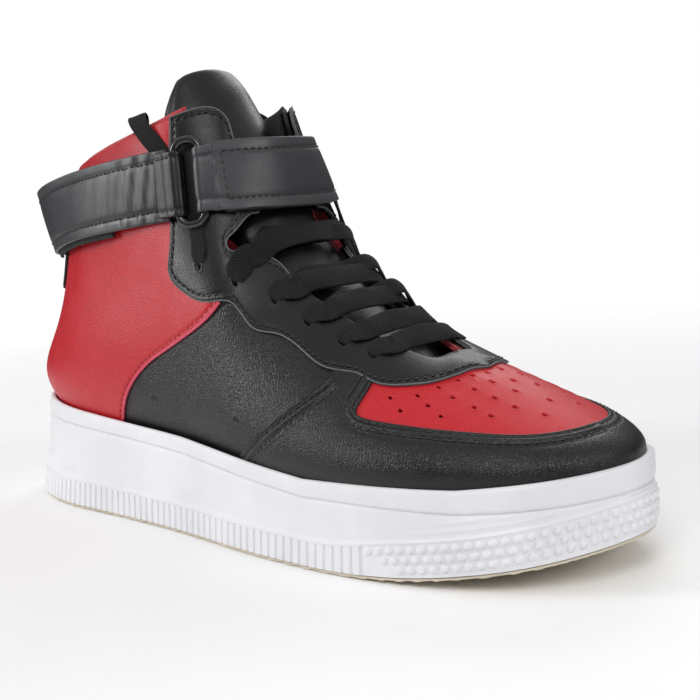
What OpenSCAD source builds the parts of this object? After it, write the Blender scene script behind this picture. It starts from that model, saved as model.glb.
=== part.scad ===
// Basketball high top, left shoe, men's size: a leather upper on a rubber cup
// sole, with an ankle strap that passes through a loop and folds back on itself.
// Frame: +X to the toe, +Z up, -Y to the inner (medial) side, ground at z = 0.

/* [Overall size] */
// Length of the sole from heel to toe
sole_length = 300; // [288:1:312]
// Width of the sole across the ball of the foot
ball_width = 108; // [104:1:112]
// Height of the ankle collar at its highest point
collar_height = 159; // [154:1:164]

/* [Upper] */
// Thickness of the outer leather
leather = 1.4; // [1.0:0.1:1.6]
// Thickness of the foam backing behind the leather
backing = 1.2; // [0.8:0.1:1.4]
// Thickness of the textile lining
lining = 0.8; // [0.6:0.1:1.0]
// Thickness of the foam round the ankle collar
collar_pad = 3.6; // [2.4:0.2:4.0]
// Thickness of the tongue padding
tongue_pad = 3.4; // [2.4:0.2:4.0]

/* [Sole] */
// Thickness of the rubber tread
tread_t = 3; // [2:0.5:4]
// Thickness of the floor of the cup sole
cup_floor = 3; // [2:0.5:4]
// Thickness of the stitched board that closes the upper
board_t = 1.5; // [1.0:0.1:1.8]
// Thickness of the removable insole
insole_t = 4; // [3:0.5:5]

/* [Strap] */
// Width of the ankle strap
strap_w = 27; // [24:0.5:28]
// Thickness of one strap layer
strap_t = 1.5; // [1.2:0.1:1.6]
// Diameter of the loop's wire
wire_d = 3.4; // [3.0:0.1:3.8]
// Height of the loop along the strap's width
loop_h = 35; // [34:0.5:37]

/* [Laces] */
// Width of the flat lace
lace_w = 8; // [6:0.5:9]
// Thickness of the flat lace
lace_t = 1.3; // [1.0:0.1:1.4]

/* [Hidden] */

sx = sole_length / 300;
sy = ball_width / 108;
sz = collar_height / 159;
NU = 52;
NV = 15;

// Upper surface, inner side: one row of points per column from heel to toe, each
// column rising from the sole line to the collar or throat edge [x, half width, z].
MED = [
 [[-137.5,0,39],[-144,0,54],[-134,0,72],[-126,0,91],[-120,0,114],[-114,0,138]],
 [[-130,17.5,39],[-136,20.5,54],[-127.5,19,72],[-119,17.5,92],[-113.5,17,115],[-107,15,140.5]],
 [[-107,30,38],[-110,34,54],[-103.5,32.5,74],[-97,30,96],[-91,28,120],[-86,25,145]],
 [[-82,34.5,37],[-82,38.5,54],[-77,38,76],[-72,34.5,98],[-67,33,123],[-62,29.5,149.5]],
 [[-54,36.5,35],[-54,40.5,53],[-50,40,77],[-46,37,101],[-42,35,128],[-39,31.5,154]],
 [[-28,38,33],[-28,42,51],[-25,41,76],[-21,38,101],[-20,33.5,129],[-20,27,159]],
 [[-2,41,31],[-2,45,48],[-1,43,70],[1,37.5,93],[-2,27,121],[-9,17,155]],
 [[22,44,28],[22,48,43],[20,44.5,61],[16,36.5,81],[9,24.5,103],[1,15,125]],
 [[46,45.5,26],[45,49,39],[41,45,54],[35,36.5,70],[27,24,87],[17,14,104]],
 [[70,45.5,26],[69,49,37],[65,44,49],[57,34.5,62],[47,22,76],[36,12,90]],
 [[94,43.5,27],[93,46.5,37],[88,41,47],[79,31,58],[68,19.5,68.5],[55,10,78]],
 [[117,37,28],[116,40,37.5],[110,35,46.5],[100,25.5,55],[87,15.5,63],[68,7,71.5]],
 [[135,24.5,30],[136,26.5,38],[129,23,45.5],[116,16,53],[98,9.5,61.5],[75,3.5,69.5]],
 [[144.5,0,31],[147,0,39],[138,0,45.5],[122,0,52.5],[102,0,60.5],[77,0,69]]];

// The outer side is the same shape, a little fuller at the heel and the ball.
function gauss(x, c, s) = exp(-pow((x - c) / s, 2));
function fuller(x, v) = 1 + (1 - 0.8 * v) * (0.09 * gauss(x, -105, 35) + 0.10 * gauss(x, 65, 32));
function place(p, side, v) = [p[0] * sx, p[1] * side * (side > 0 ? fuller(p[0], v) : 1) * sy, p[2] * sz];
TAB = [for (c = [0 : 25]) [for (r = [0 : 5])
  place(MED[c < 14 ? c : 26 - c][r], c < 14 ? -1 : 1, r / 5)]];

function cr(t) = [(-t + 2*t*t - t*t*t) / 2, (2 - 5*t*t + 3*t*t*t) / 2, (t + 4*t*t - 3*t*t*t) / 2, (t*t*t - t*t) / 2];
function tab(c, r) = let (q = TAB[(c + 52) % 26])
  r < 0 ? 2 * q[0] - q[1] : r > 5 ? 2 * q[5] - q[4] : q[r];
function colp(c, iv, b) = b[0] * tab(c, iv - 1) + b[1] * tab(c, iv) + b[2] * tab(c, iv + 1) + b[3] * tab(c, iv + 2);
function S(u, v) = let (iu = floor(u), a = cr(u - iu), w = v * 5, iv = min(4, max(0, floor(w))), b = cr(w - iv))
  a[0] * colp(iu - 1, iv, b) + a[1] * colp(iu, iv, b) + a[2] * colp(iu + 1, iv, b) + a[3] * colp(iu + 2, iv, b);
function unit(v) = v / max(norm(v), 1e-9);
function nrm(u, v) = unit(cross(S(u + 0.02, v) - S(u - 0.02, v), S(u, v + 0.01) - S(u, v - 0.01)));
function off(u, v, d) = S(u, v) + d * nrm(u, v);
function pick(t, x) = let (n = len(t) - 1) x <= t[0][0] ? t[0][1] : x >= t[n][0] ? t[n][1] :
  [for (i = [0 : n - 1]) if (x >= t[i][0] && x < t[i + 1][0])
     t[i][1] + (t[i + 1][1] - t[i][1]) * (x - t[i][0]) / (t[i + 1][0] - t[i][0])][0];

// Seams, as lines across the surface: [around, up]
EYE_EDGE = [[4.8,0.57],[5.5,0.54],[6.4,0.61],[7.2,0.60],[8,0.66],[8.7,0.63],[9.4,0.66],[10.1,0.66],[10.6,0.72],[11.2,0.8],[12,0.86],[13,0.87]];
HEEL_SEAM = [[0,3.65],[0.2,4.05],[0.3,4.5],[0.37,5.1],[0.43,5.5],[0.5,5.9],[0.58,6.2],[0.62,6.5]];
WRAP_SEAM = [[0,6.5],[0.2,7.15],[0.37,7.95],[0.5,8.4],[0.6,8.8],[0.7,9.2]];
TOE_EDGE = 0.46;
// Grid over the surface, drawn so that its lines run along the seams: rows 0-7 rise
// to the toe box edge, row 9 follows the eyestay edge; column 13 is the heel panel
// seam, column 17 the toe wrap seam. Columns past 26 mirror the inner side.
function rowv(j) = j <= 7 ? TOE_EDGE * j / 7 : min(0.57, TOE_EDGE + 0.055 * (j - 7));
function gu(i, j) = let (v = rowv(j), h = pick(HEEL_SEAM, v), w = pick(WRAP_SEAM, v), b = min(1, j / 7))
  pick([[0, 0], [13, h], [17, w], [19, (1 - b) * (w + (13 - w) * 2 / 9) + b * 9.35], [26, 13]], i);
function gv(i, j) = let (e = pick(EYE_EDGE, gu(i, 9)))
  j <= 7 ? TOE_EDGE * j / 7 : j <= 9 ? TOE_EDGE + (e - TOE_EDGE) * (j - 7) / 2 : e + (1 - e) * (j - 9) / 6;
GUV = [for (i = [0 : NU - 1]) [for (j = [0 : NV]) i <= 26 ? [gu(i, j), gv(i, j)] : [26 - gu(52 - i, j), gv(52 - i, j)]]];
G = [for (i = [0 : NU - 1]) [for (j = [0 : NV]) S(GUV[i][j][0], GUV[i][j][1])]];
GN = [for (i = [0 : NU - 1]) [for (j = [0 : NV]) nrm(GUV[i][j][0], GUV[i][j][1])]];
function notch(u, v) = let (m = u > 13 ? 26 - u : u)
  m > 6.05 && v > 0.73 + (m - 6.1) * 0.126 && v < 0.745 + (m - 6.05) * 0.247 && m < 7.6;
function zone(i, j, u, v) = let (c = i < 26 ? i : 51 - i, lat = i >= 26)
  notch(u, v) ? 0 : j >= 9 ? (c >= 10 ? 7 : lat ? 2 : 1) :
  c < 13 ? (lat ? 2 : 1) : c < 17 ? (lat ? 4 : 3) : c >= 19 && j >= 7 ? 6 : 5;

// Each square of the surface grid is two triangles, mirrored on the outer side.
function tri(i, j, k) = let (a = [i, j], b = [i + 1, j], c = [i + 1, j + 1], d = [i, j + 1])
  i < NU / 2 ? (k == 0 ? [a, b, c] : [a, c, d]) : (k == 0 ? [a, b, d] : [b, c, d]);
function mid(t) = (t[0] + t[1] + t[2]) / 3;
ZONE = [for (i = [0 : NU - 1]) [for (j = [0 : NV - 1]) [for (k = [0, 1])
  let (t = tri(i, j, k), m = mid([for (p = t) let (q = GUV[p[0] % NU][p[1]]) p[0] == NU ? [26, q[1]] : q])) zone(i, j, m[0], m[1])]]];
function vid(p, l) = ((p[0] % NU) * (NV + 1) + p[1]) * 2 + l;
function has(W, i, j, k) = j < 0 || j >= NV ? false : W[(i + NU) % NU][j][k];
// the triangle on the other side of each edge of triangle (i, j, k)
function across(i, j, k) = i < NU / 2 ?
  (k == 0 ? [[i, j - 1, 1], [i + 1, j, i + 1 < NU / 2 ? 1 : 0], [i, j, 1]]
          : [[i, j, 0], [i, j + 1, 0], [i - 1 < 0 ? NU - 1 : i - 1, j, i - 1 < 0 ? 1 : 0]]) :
  (k == 0 ? [[i, j - 1, 1], [i, j, 1], [i - 1, j, i - 1 < NU / 2 ? 0 : 1]]
          : [[i + 1 >= NU ? 0 : i + 1, j, i + 1 >= NU ? 1 : 0], [i, j + 1, 0], [i, j, 0]]);
function flip(f) = [for (t = f) [t[0], t[2], t[1]]];
// closed solid from points and triangles, turned right side out whichever way they run
function six_vol(P, F) = [for (f = F) cross(P[f[0]], P[f[1]]) * P[f[2]]] * [for (f = F) 1];
module solid(P, F) { polyhedron(P, six_vol(P, F) > 0 ? flip(F) : F, convexity = 10); }
// A sheet from depth d0 to d1 over the triangles that W selects
module sheet(W, d0, d1) {
  pts = [for (i = [0 : NU - 1]) for (j = [0 : NV]) for (l = [0, 1]) G[i][j] + GN[i][j] * (l == 0 ? d0 : d1)];
  caps = [for (i = [0 : NU - 1]) for (j = [0 : NV - 1]) for (k = [0, 1]) if (W[i][j][k])
    let (t = tri(i, j, k)) each [[vid(t[0], 1), vid(t[1], 1), vid(t[2], 1)], [vid(t[0], 0), vid(t[2], 0), vid(t[1], 0)]]];
  walls = [for (i = [0 : NU - 1]) for (j = [0 : NV - 1]) for (k = [0, 1]) if (W[i][j][k])
    let (t = tri(i, j, k), x = across(i, j, k)) for (e = [0 : 2]) if (!has(W, x[e][0], x[e][1], x[e][2]))
      let (p = t[e], q = t[(e + 1) % 3], p1 = vid(p, 1), p0 = vid(p, 0), q1 = vid(q, 1), q0 = vid(q, 0))
        each (p1 < q1 ? [[q1, p1, q0], [p1, p0, q0]] : [[q1, p1, p0], [q1, p0, q0]])];
  solid(pts, concat(caps, walls));
}
function want(z) = [for (i = [0 : NU - 1]) [for (j = [0 : NV - 1]) [for (k = [0, 1]) ZONE[i][j][k] == z]]];
// selection of whole squares by range, where the upper has leather
function span(u0, u1, j0, j1) = [for (i = [0 : NU - 1]) [for (j = [0 : NV - 1]) [for (k = [0, 1])
  let (m = i < NU / 2 ? i : NU - 1 - i) ZONE[i][j][k] > 0 && m >= u0 && m < u1 && j >= j0 && j < j1]]];
function minus(A, B) = [for (i = [0 : NU - 1]) [for (j = [0 : NV - 1]) [for (k = [0, 1]) A[i][j][k] && !B[i][j][k]]]];

module heel_panel_medial() { color([0.72, 0.06, 0.08]) sheet(want(1), -leather, 0); }
module heel_panel_lateral() { color([0.72, 0.06, 0.08]) sheet(want(2), -leather, 0); }
module quarter_medial() { color([0.06, 0.06, 0.07]) sheet(want(3), -leather, 0); }
module quarter_lateral() { color([0.06, 0.06, 0.07]) sheet(want(4), -leather, 0); }
module toe_wrap() { color([0.08, 0.08, 0.09]) sheet(want(5), -leather, 0); }
module toe_box() { color([0.78, 0.07, 0.09]) sheet(want(6), -leather, 0); }
module eyestay() { color([0.07, 0.07, 0.08]) sheet(want(7), -leather, 0); }

// Behind the leather: counter round the heel, puff in the toe, foam between
COUNTER = span(0, 11, 0, 6);
PUFF = span(21, 26, 0, 6);
PADDED = span(0, 8, 8, 15);
NEAR_PAD = span(0, 9, 7, 15);
module heel_counter() { color([0.75, 0.7, 0.6]) sheet(COUNTER, -leather - backing, -leather); }
module toe_puff() { color([0.8, 0.78, 0.72]) sheet(PUFF, -leather - backing, -leather); }
module foam_backing() { color([0.85, 0.83, 0.6])
  sheet(minus(minus(minus(span(0, 26, 0, 15), COUNTER), PUFF), NEAR_PAD), -leather - backing, -leather); }
module collar_foam() { color([0.85, 0.83, 0.6]) sheet(PADDED, -leather - collar_pad, -leather); }
module collar_lining() { color([0.75, 0.08, 0.1]) sheet(PADDED, -leather - collar_pad - lining, -leather - collar_pad); }
module heel_lining() { color([0.75, 0.08, 0.1]) sheet(span(0, 9, 0, 7), -leather - backing - lining, -leather - backing); }
module vamp_lining() { color([0.5, 0.08, 0.1]) sheet(span(9, 26, 0, 15), -leather - backing - lining, -leather - backing); }

// ---- Sole ----
// Wall thickness of the cup's rim and the flare of its foot, column by column
RIM_W = [2.6,3.5,3,2.8,2.8,2.8,2.8,2.8,2.8,2.8,3,3.6,4.2,4.3,4.6,4.2,3.4,3.2,3.4,3,2.8,2.8,2.8,2.8,3,3.8];
RIM_Z = [[-150,43.7],[-90,40.4],[-20,36.6],[50,30],[110,31.9],[150,36.7]];
FLARE = [[-150,6.7],[-110,5.4],[-60,2.5],[60,2.4],[110,0],[150,0]];
function wall(u) = let (i = floor(u), t = u - i) RIM_W[i % 26] * (1 - t) + RIM_W[(i + 1) % 26] * t;
function flat(v) = [v[0], v[1], 0];
function out2(u, v) = let (t = unit(flat(S(u + 0.05, v) - S(u - 0.05, v)))) [t[1], -t[0], 0];
function rimz(x) = pick(RIM_Z, x / sx) * sz;
function spring(x) = let (q = max(0, x / sx - 60)) 12 * pow(q / 90, 2) * sz;
// a ring round the sole: d outwards from the upper's sole line, at height fraction f
// between the ground (0) and the rim (1)
function footp(u, f, d) = let (p = S(u, 0.06), n = out2(u, 0.06), w = wall(u), r = p + n * w,
  fl = pick(FLARE, p[0] / sx) * pow(1 - f, 1.2), q = r + n * (fl + d), z0 = spring(q[0]), z1 = rimz(p[0]))
  [q[0], q[1], z0 + (z1 - z0) * f];
function ringz(f, d) = [for (i = [0 : NU - 1]) footp(i / 2, f, d)];
function level(R, h) = [for (p = R) [p[0], p[1], spring(p[0]) + h]];
function inner(d, h) = [for (i = [0 : NU - 1]) let (p = S(i / 2, 0), n = out2(i / 2, 0), q = p + n * d) [q[0], q[1], h < -50 ? p[2] : spring(q[0]) + h]];
function board(d, dz) = [for (i = [0 : NU - 1]) let (p = S(i / 2, 0), n = out2(i / 2, 0), q = p + n * d) [q[0], q[1], p[2] + dz]];
// stack of rings, closed below and above by rungs from side to side
module stack(R) {
  n = len(R);
  pts = [for (r = R) each r];
  side = [for (k = [0 : n - 2]) for (i = [0 : NU - 1]) let (i2 = (i + 1) % NU, a = k * NU + i, b = k * NU + i2, c = (k + 1) * NU + i2, d = (k + 1) * NU + i)
    each [[a, b, c], [a, c, d]]];
  lid = [for (i = [0 : NU / 2 - 1]) let (j = (NU - i) % NU, j2 = NU - i - 1) each
    concat(i > 0 ? [[i, j2, j]] : [], i < NU / 2 - 1 ? [[i, i + 1, j2]] : [])];
  top = [for (t = lid) [t[0], t[1], t[2]] + [1, 1, 1] * (n - 1) * NU];
  solid(pts, concat(side, flip(lid), top));
}
module outsole_tread() { color([0.86, 0.82, 0.74]) stack([level(ringz(0, -1.2), 0), level(ringz(0, -1.0), tread_t - 0.1)]); }
module cupsole() { color([0.93, 0.93, 0.94])
  stack([level(ringz(0, 0), tread_t), ringz(0.3, 0), ringz(0.8, 0), ringz(0.86, 0.6), ringz(0.97, 0.6), ringz(1, 0),
    [for (i = [0 : NU - 1]) let (u = i / 2, p = S(u, 0.06), n = out2(u, 0.06), q = p + n * 1.55) [q[0], q[1], rimz(p[0])]],
    board(1.3, 0), board(0.7, -6), inner(-1, tread_t + cup_floor)]); }
module foam_wedge() { color([0.9, 0.88, 0.8]) stack([inner(-2.4, tread_t + cup_floor + 0.15), board(-1.4, -board_t - 0.7)]); }
module strobel_board() { color([0.85, 0.85, 0.8]) stack([board(-1.2, -board_t - 0.6), board(-1.2, -0.6)]); }
function liner(d, dz) = [for (i = [0 : NU - 1]) let (q = off(i / 2, 0.04, -leather - backing - lining - d)) [q[0], q[1], S(i / 2, 0)[2] + dz]];
module sockliner() { color([0.7, 0.07, 0.09]) stack([liner(2.4, 2.2), liner(1.6, 2.2 + insole_t)]); }

// ---- Tongue: centre line [x, z, half width, depth of its curl] ----
TONGUE = [[74,62,11,1.5],[60,70.5,16,4],[46,79.2,18,6],[31.6,89,19,8.5],[17.6,100.5,19,9.5],[6,114,20,13],[-3.6,128,22,18],
          [-10,142,23,21],[-19,156,24,23],[-27,168,21,17],[-33,176.5,15,8]];
function tcr(P, i, t) = let (n = len(P) - 1, a = cr(t),
  p0 = i > 0 ? P[i - 1] : 2 * P[0] - P[1], p3 = i + 2 <= n ? P[i + 2] : 2 * P[n] - P[n - 1])
  a[0] * p0 + a[1] * P[i] + a[2] * P[i + 1] + a[3] * p3;
function tl(s) = let (i = min(len(TONGUE) - 2, max(0, floor(s)))) tcr(TONGUE, i, s - i);
function tpt(s, q, d) = let (c = tl(s), e = (tl(s + 0.05) - tl(s - 0.05)), t = unit([e[0], 0, e[1]]), n = [t[2], 0, -t[0]],
  a = 90 * q, w = c[2], h = c[3], nn = unit(n * cos(a) * w + [0, 1, 0] * sin(a) * h * 0.999))
  let (p = [c[0], 0, c[1]] - n * h * (1 - cos(a)) + [0, w * sin(a), 0] + nn * d) [p[0] * sx, p[1] * sy, p[2] * sz];
// shell over [s0, s1] x [q0, q1] from depth d0 to d1
module shell(s0, s1, ns, q0, q1, nq, d0, d1) {
  m = nq + 1;
  pts = [for (l = [d0, d1]) for (i = [0 : ns]) for (j = [0 : nq]) tpt(s0 + (s1 - s0) * i / ns, q0 + (q1 - q0) * j / nq, l)];
  N = (ns + 1) * m;
  f = [for (i = [0 : ns - 1]) for (j = [0 : nq - 1]) let (a = i * m + j, b = a + 1, c = a + m + 1, d = a + m)
      each [[a, b, c], [a, c, d], [N + a, N + c, N + b], [N + a, N + d, N + c]]];
  ends = [for (j = [0 : nq - 1]) let (a = j, b = j + 1, c = ns * m + j, d = c + 1) each
      [[a, N + b, b], [a, N + a, N + b], [c, d, N + d], [c, N + d, N + c]]];
  sides = [for (i = [0 : ns - 1]) let (a = i * m, b = a + m, c = a + nq, d = c + m) each
      [[a, b, N + b], [a, N + b, N + a], [c, N + d, d], [c, N + c, N + d]]];
  solid(pts, concat(f, ends, sides));
}
TJ = 5.6;
module tongue_lower() { color([0.08, 0.08, 0.09]) shell(0, TJ - 0.12, 10, -1, 1, 10, -1.2, 0); }
module tongue_foam() { color([0.85, 0.83, 0.6]) shell(TJ + 0.12, 10 - (10 - TJ - 0.12) / 8, 7, -0.8, 0.8, 8, -1.2 - tongue_pad, -1.2); }
module tongue_upper() { color([0.08, 0.08, 0.09]) shell(TJ + 0.12, 10, 8, -1, 1, 10, -1.2, 0); }
module tongue_lining() { color([0.7, 0.07, 0.09]) shell(TJ + 0.12, 10 - (10 - TJ - 0.12) / 8, 7, -0.8, 0.8, 8, -2 - tongue_pad, -1.2 - tongue_pad); }
module tongue_lower_pad() { color([0.7, 0.07, 0.09]) shell((TJ - 0.12) / 10, TJ - 0.12, 9, -0.8, 0.8, 8, -3, -1.2); }

// ---- Strap ----
// Path of the strap's middle: [x, y, z, inward lean of its top, forward slant]
BELT = [[-18,-36.6,132.3,0.1,0.2],[-32,-38.3,131.3,0.05,0.15],[-56,-39.5,129,0,0.1],[-82,-38,126,0,0.05],
  [-106,-32.5,122,-0.15,0],[-126,-20,118.5,-0.22,0],[-134.5,0,117,-0.22,0],[-126,20,118.5,-0.22,0],
  [-106,33,122,-0.15,0],[-82,38.5,126,0,0],[-56,39,129.5,0,0],[-34,37.8,132,0.1,0],[-19.6,34.4,133.5,0.2,0],
  [-9.6,30.2,134,0.28,0],[-2.8,24.4,134,0.34,0],[1,17.5,134,0.28,0],[3.2,8,134,0.25,0],[3.8,0,134,0.25,0],
  [3.2,-8,134,0.25,0],[0.9,-16.6,134,0.3,0.05],[-2.9,-24.8,133.7,0.32,0.12],[-8.2,-32.3,133.3,0.24,0.2]];
BN = len(BELT) - 1;
function bp(s) = let (i = min(BN - 1, max(0, floor(s)))) tcr(BELT, i, s - i);
function xyz(p) = [p[0], p[1], p[2]];
// frame of the strap: point, direction, outward, up its width
function bframe(s) = let (p = bp(s), t = unit(xyz(bp(s + 0.05) - bp(s - 0.05))), o = unit(cross(t, [0, 0, 1])) * -1,
  w0 = unit([0, 0, 1] - o * p[3] + t * p[4]), n = unit(cross(t, w0)) * -1, w = cross(t, n))
  [xyz(p), t, n, w[2] < 0 ? -w : w];
function world(p) = [p[0] * sx, p[1] * sy, p[2] * sz];
function bpt(s, h, d) = let (f = bframe(s)) world(f[0] + f[2] * d + f[3] * h);
// solid through a row of equal loops of points; closed into a ring if shut
module strip(L, shut = false) {
  n = len(L); m = len(L[0]);
  f = [for (i = [0 : shut ? n - 1 : n - 2]) for (k = [0 : m - 1])
    let (i2 = (i + 1) % n, k2 = (k + 1) % m, a = i * m + k, b = i * m + k2, c = i2 * m + k2, d = i2 * m + k) each [[a, b, c], [a, c, d]]];
  e = shut ? [] : [for (k = [1 : m - 2]) each [[0, k + 1, k], [(n - 1) * m, (n - 1) * m + k, (n - 1) * m + k + 1]]];
  solid([for (r = L) each r], concat(f, e));
}
// every layer of the strap is cut at the same places along its path, so the layers nest
function places(s0, s1) = concat([s0], [for (k = [floor(s0 * 4) + 1 : ceil(s1 * 4) - 1]) k / 4], [s1]);
module band(s0, s1, h, d0, d1) {
  strip([for (s = places(s0, s1)) [bpt(s, -h, d0), bpt(s, h, d0), bpt(s, h, d1), bpt(s, -h, d1)]]);
}
// leather folded round a bar: centre line C in (along, out) from the bar of frame f
module fold(f, C, th, h) {
  n = len(C) - 1;
  N = [for (i = [0 : n]) let (e = C[min(n, i + 1)] - C[max(0, i - 1)], q = e / norm(e)) [-q[1], q[0]]];
  strip([for (i = [0 : n]) [for (k = [[1, -1], [1, 1], [-1, 1], [-1, -1]]) let (c = C[i] + N[i] * th / 2 * k[0])
    world(f[0] + f[1] * c[0] + f[2] * c[1] + LW * h * k[1])]]);
}
HW = strap_w / 2;
HT = strap_t / 2;
F0 = bframe(0);
F1 = bframe(BN);
FIN = wire_d / 2 + 0.3;
module strap_belt() { color([0.2, 0.2, 0.22]) band(0.3, BN - 0.62, HW, -HT, HT); }
module belt_backing() { color([0.05, 0.05, 0.06]) band(1.5, 5, HW + 1.6, -HT - 1.5, -HT - 0.3); }
module loop_patch() { color([0.1, 0.1, 0.1]) band(12.25, 16.25, HW - 3, HT + 0.25, HT + 0.55); }
module hook_patch() { color([0.1, 0.1, 0.1]) band(12.25, 15.25, HW - 3, HT + 0.85, HT + 1.15); }
module strap_flap() { color([0.24, 0.24, 0.26]) band(11.75, BN - 0.5, HW, HT + 1.35, HT + 2.75); }
module belt_end_fold() { color([0.22, 0.22, 0.24])
  fold(F0, concat([[9, 3], [4, FIN + 0.75]], [for (a = [90 : 22.5 : 270]) [cos(a), sin(a)] * (FIN + 0.75)], [[4, -FIN - 0.4]]), 1.1, HW - 3.8); }
module front_fold() { color([0.24, 0.24, 0.26])
  fold(F1, concat([[-3.2, HT + 1.85]], [for (a = [90 : -22.5 : -90]) [cos(a), sin(a)] * (wire_d / 2 + 1.25)], [[-2.1, -wire_d / 2 - 1.0]]), 1.0, HW - 4.8); }
// Oval loop of round wire, its long sides through both bar points
LC = (F0[0] + F1[0]) / 2;
LT = unit(F1[0] - F0[0]);
LW = unit(F0[3] + F1[3] - LT * ((F0[3] + F1[3]) * LT));
LN = cross(LT, LW);
LB = norm(F1[0] - F0[0]) / 2;
LR = 4.6;
function loop2(a) = let (sa = sin(a), ca = cos(a)) [(LB - LR) * sign(ca) * (abs(ca) > 1e-6 ? 1 : 0) + LR * ca, (loop_h / 2 - wire_d / 2 - LR) * sign(sa) * (abs(sa) > 1e-6 ? 1 : 0) + LR * sa];
module strap_loop() { color([0.05, 0.05, 0.06])
  strip([for (a = [7.5 : 15 : 359]) let (c = loop2(a), q = [cos(a), sin(a)])
    [for (b = [0 : 36 : 359]) world(LC + LT * (c[0] + q[0] * wire_d / 2 * cos(b)) + LW * (c[1] + q[1] * wire_d / 2 * cos(b)) + LN * wire_d / 2 * sin(b))]], true); }

// Webbing tab and seam cover down the back of the heel
TABW = [for (i = [0 : NU - 1]) [for (j = [0 : NV - 1]) [for (k = [0, 1]) (i < 3 || i >= NU - 3) && j >= 9 && j < 12]]];
SEAMW = [for (i = [0 : NU - 1]) [for (j = [0 : NV - 1]) [for (k = [0, 1]) (i < 1 || i >= NU - 1) && j >= 2 && j < 9]]];
module heel_tab() { color([0.05, 0.05, 0.05]) sheet(TABW, 0, 1.3); }
module heel_seam_strip() { color([0.7, 0.06, 0.08]) sheet(SEAMW, 0, 1.2); }

// ---- Lace: eyelets up the inner side, [around, up] ----
EYES = [[9.62,0.765],[9.03,0.765],[8.3,0.765],[7.55,0.745],[6.43,0.665],[5.55,0.63]];
function side(e, sd) = sd < 0 ? e : [26 - e[0], e[1]];
function sp(e, sd, d) = let (q = side(e, sd)) off(q[0], q[1], d);
function sn(e, sd) = let (q = side(e, sd)) nrm(q[0], q[1]);
// a flat lace through points P with face directions D
module ribbon(P, D, w, t) {
  n = len(P) - 1;
  strip([for (i = [0 : n]) let (e = unit(P[min(n, i + 1)] - P[max(0, i - 1)]), b = unit(cross(D[i], e)), c = unit(cross(e, b)))
    [P[i] - b * w / 2 - c * t / 2, P[i] + b * w / 2 - c * t / 2, P[i] + b * w / 2 + c * t / 2, P[i] - b * w / 2 + c * t / 2]]);
}
UPD = unit([0.62, 0, 0.78]);
// where the lace crosses the throat edge, beside each eyelet
EDGE = [[10.1,1],[9.25,1],[8.55,1],[7.85,1],[7.25,0.92],[6.7,0.82]];
// from eyelet k on side sd, over the throat, to the other side's edge beside eyelet k + 1
module cross_lace(k, sd, lift) {
  a = EYES[k];
  c = k > 2 ? 1.4 : 0.8;
  p0 = sp(a, sd, 0.5 + lace_t / 2 + c);
  p1 = sp((a + EDGE[k]) / 2, sd, 0.6 + lace_t / 2 + c);
  p2 = sp(EDGE[k], sd, 0.9 + lace_t / 2 + lift / 2 + c);
  p4 = sp(EDGE[k + 1], -sd, (k > 2 ? 3 : 1.6) + lace_t / 2);
  p3 = (p2 + p4) / 2 + UPD * (1.2 + lift);
  ribbon([p0, p1, p2, (p2 + p3) / 2 + UPD * 0.5, p3, (p3 + p4) / 2 + UPD * 0.5, p4],
    [sn(a, sd), sn(a, sd), unit(sn(a, sd) + UPD), UPD, UPD, UPD, UPD], lace_w, lace_t);
}
module lace() { color([0.04, 0.04, 0.04]) {
  ribbon([sp(EYES[0], -1, 1.7), sp([9.8, 0.88], -1, 1.9), sp([10.1, 1], -1, 2.3), [62 * sx, 0, 80.5 * sz], sp([10.1, 1], 1, 2.3), sp([9.8, 0.88], 1, 1.9), sp(EYES[0], 1, 1.7)],
    [sn(EYES[0], -1), sn(EYES[0], -1), UPD, UPD, UPD, sn(EYES[0], 1), sn(EYES[0], 1)], lace_w - 1, lace_t);
  for (k = [1 : 4]) cross_lace(k, -1, 2.1);
} }
module lace_ends() { color([0.04, 0.04, 0.04]) for (sd = [-1, 1]) {
  lo = [[5.55,0.645,1],[5.52,0.67,1],[5.46,0.705,1]];
  q = [[4.72,0.925,1],[4.6,0.965,1.3],[4.3,1.035,1.6],[4.0,1.075,-1.5],[3.8,1.05,-5.6],[3.6,0.97,-7.7],[3.45,0.9,-8.1]];
  ribbon([for (e = lo) sp(e, sd, e[2])], [for (e = lo) sn(e, sd)], lace_w - 2, lace_t);
  ribbon([for (e = q) sp(e, sd, e[2])], [for (e = q) let (m = sn(e, sd)) e[1] > 1.05 ? [0, 0, 1] : e[2] < -2 ? -m : m], lace_w - 2, lace_t);
} }
module aglets() { color([0.1, 0.1, 0.1]) for (sd = [-1, 1]) {
  q = [[3.44,0.892,-8.1],[3.4,0.84,-8.3],[3.36,0.78,-8.5]];
  P = [for (e = q) sp(e, sd, e[2])];
  D = sn(q[0], sd);
  strip([for (i = [0 : 2]) let (e = unit(P[2] - P[0]), b = unit(cross(D, e)), c = cross(e, b)) [for (a = [0 : 45 : 359]) P[i] + (b * cos(a) + c * sin(a)) * 1.5]]);
} }

outsole_tread();
cupsole();
foam_wedge();
strobel_board();
sockliner();
heel_panel_medial();
heel_panel_lateral();
quarter_medial();
quarter_lateral();
toe_wrap();
toe_box();
eyestay();
foam_backing();
heel_counter();
toe_puff();
collar_foam();
collar_lining();
heel_lining();
vamp_lining();
tongue_lower();
tongue_lower_pad();
tongue_upper();
tongue_foam();
tongue_lining();
heel_tab();
heel_seam_strip();
strap_belt();
belt_backing();
strap_loop();
belt_end_fold();
front_fold();
strap_flap();
hook_patch();
loop_patch();
lace();
lace_ends();
aglets();
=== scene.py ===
import bpy, math
import numpy as np
from mathutils import Matrix, kdtree
from mathutils.geometry import delaunay_2d_cdt


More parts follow.
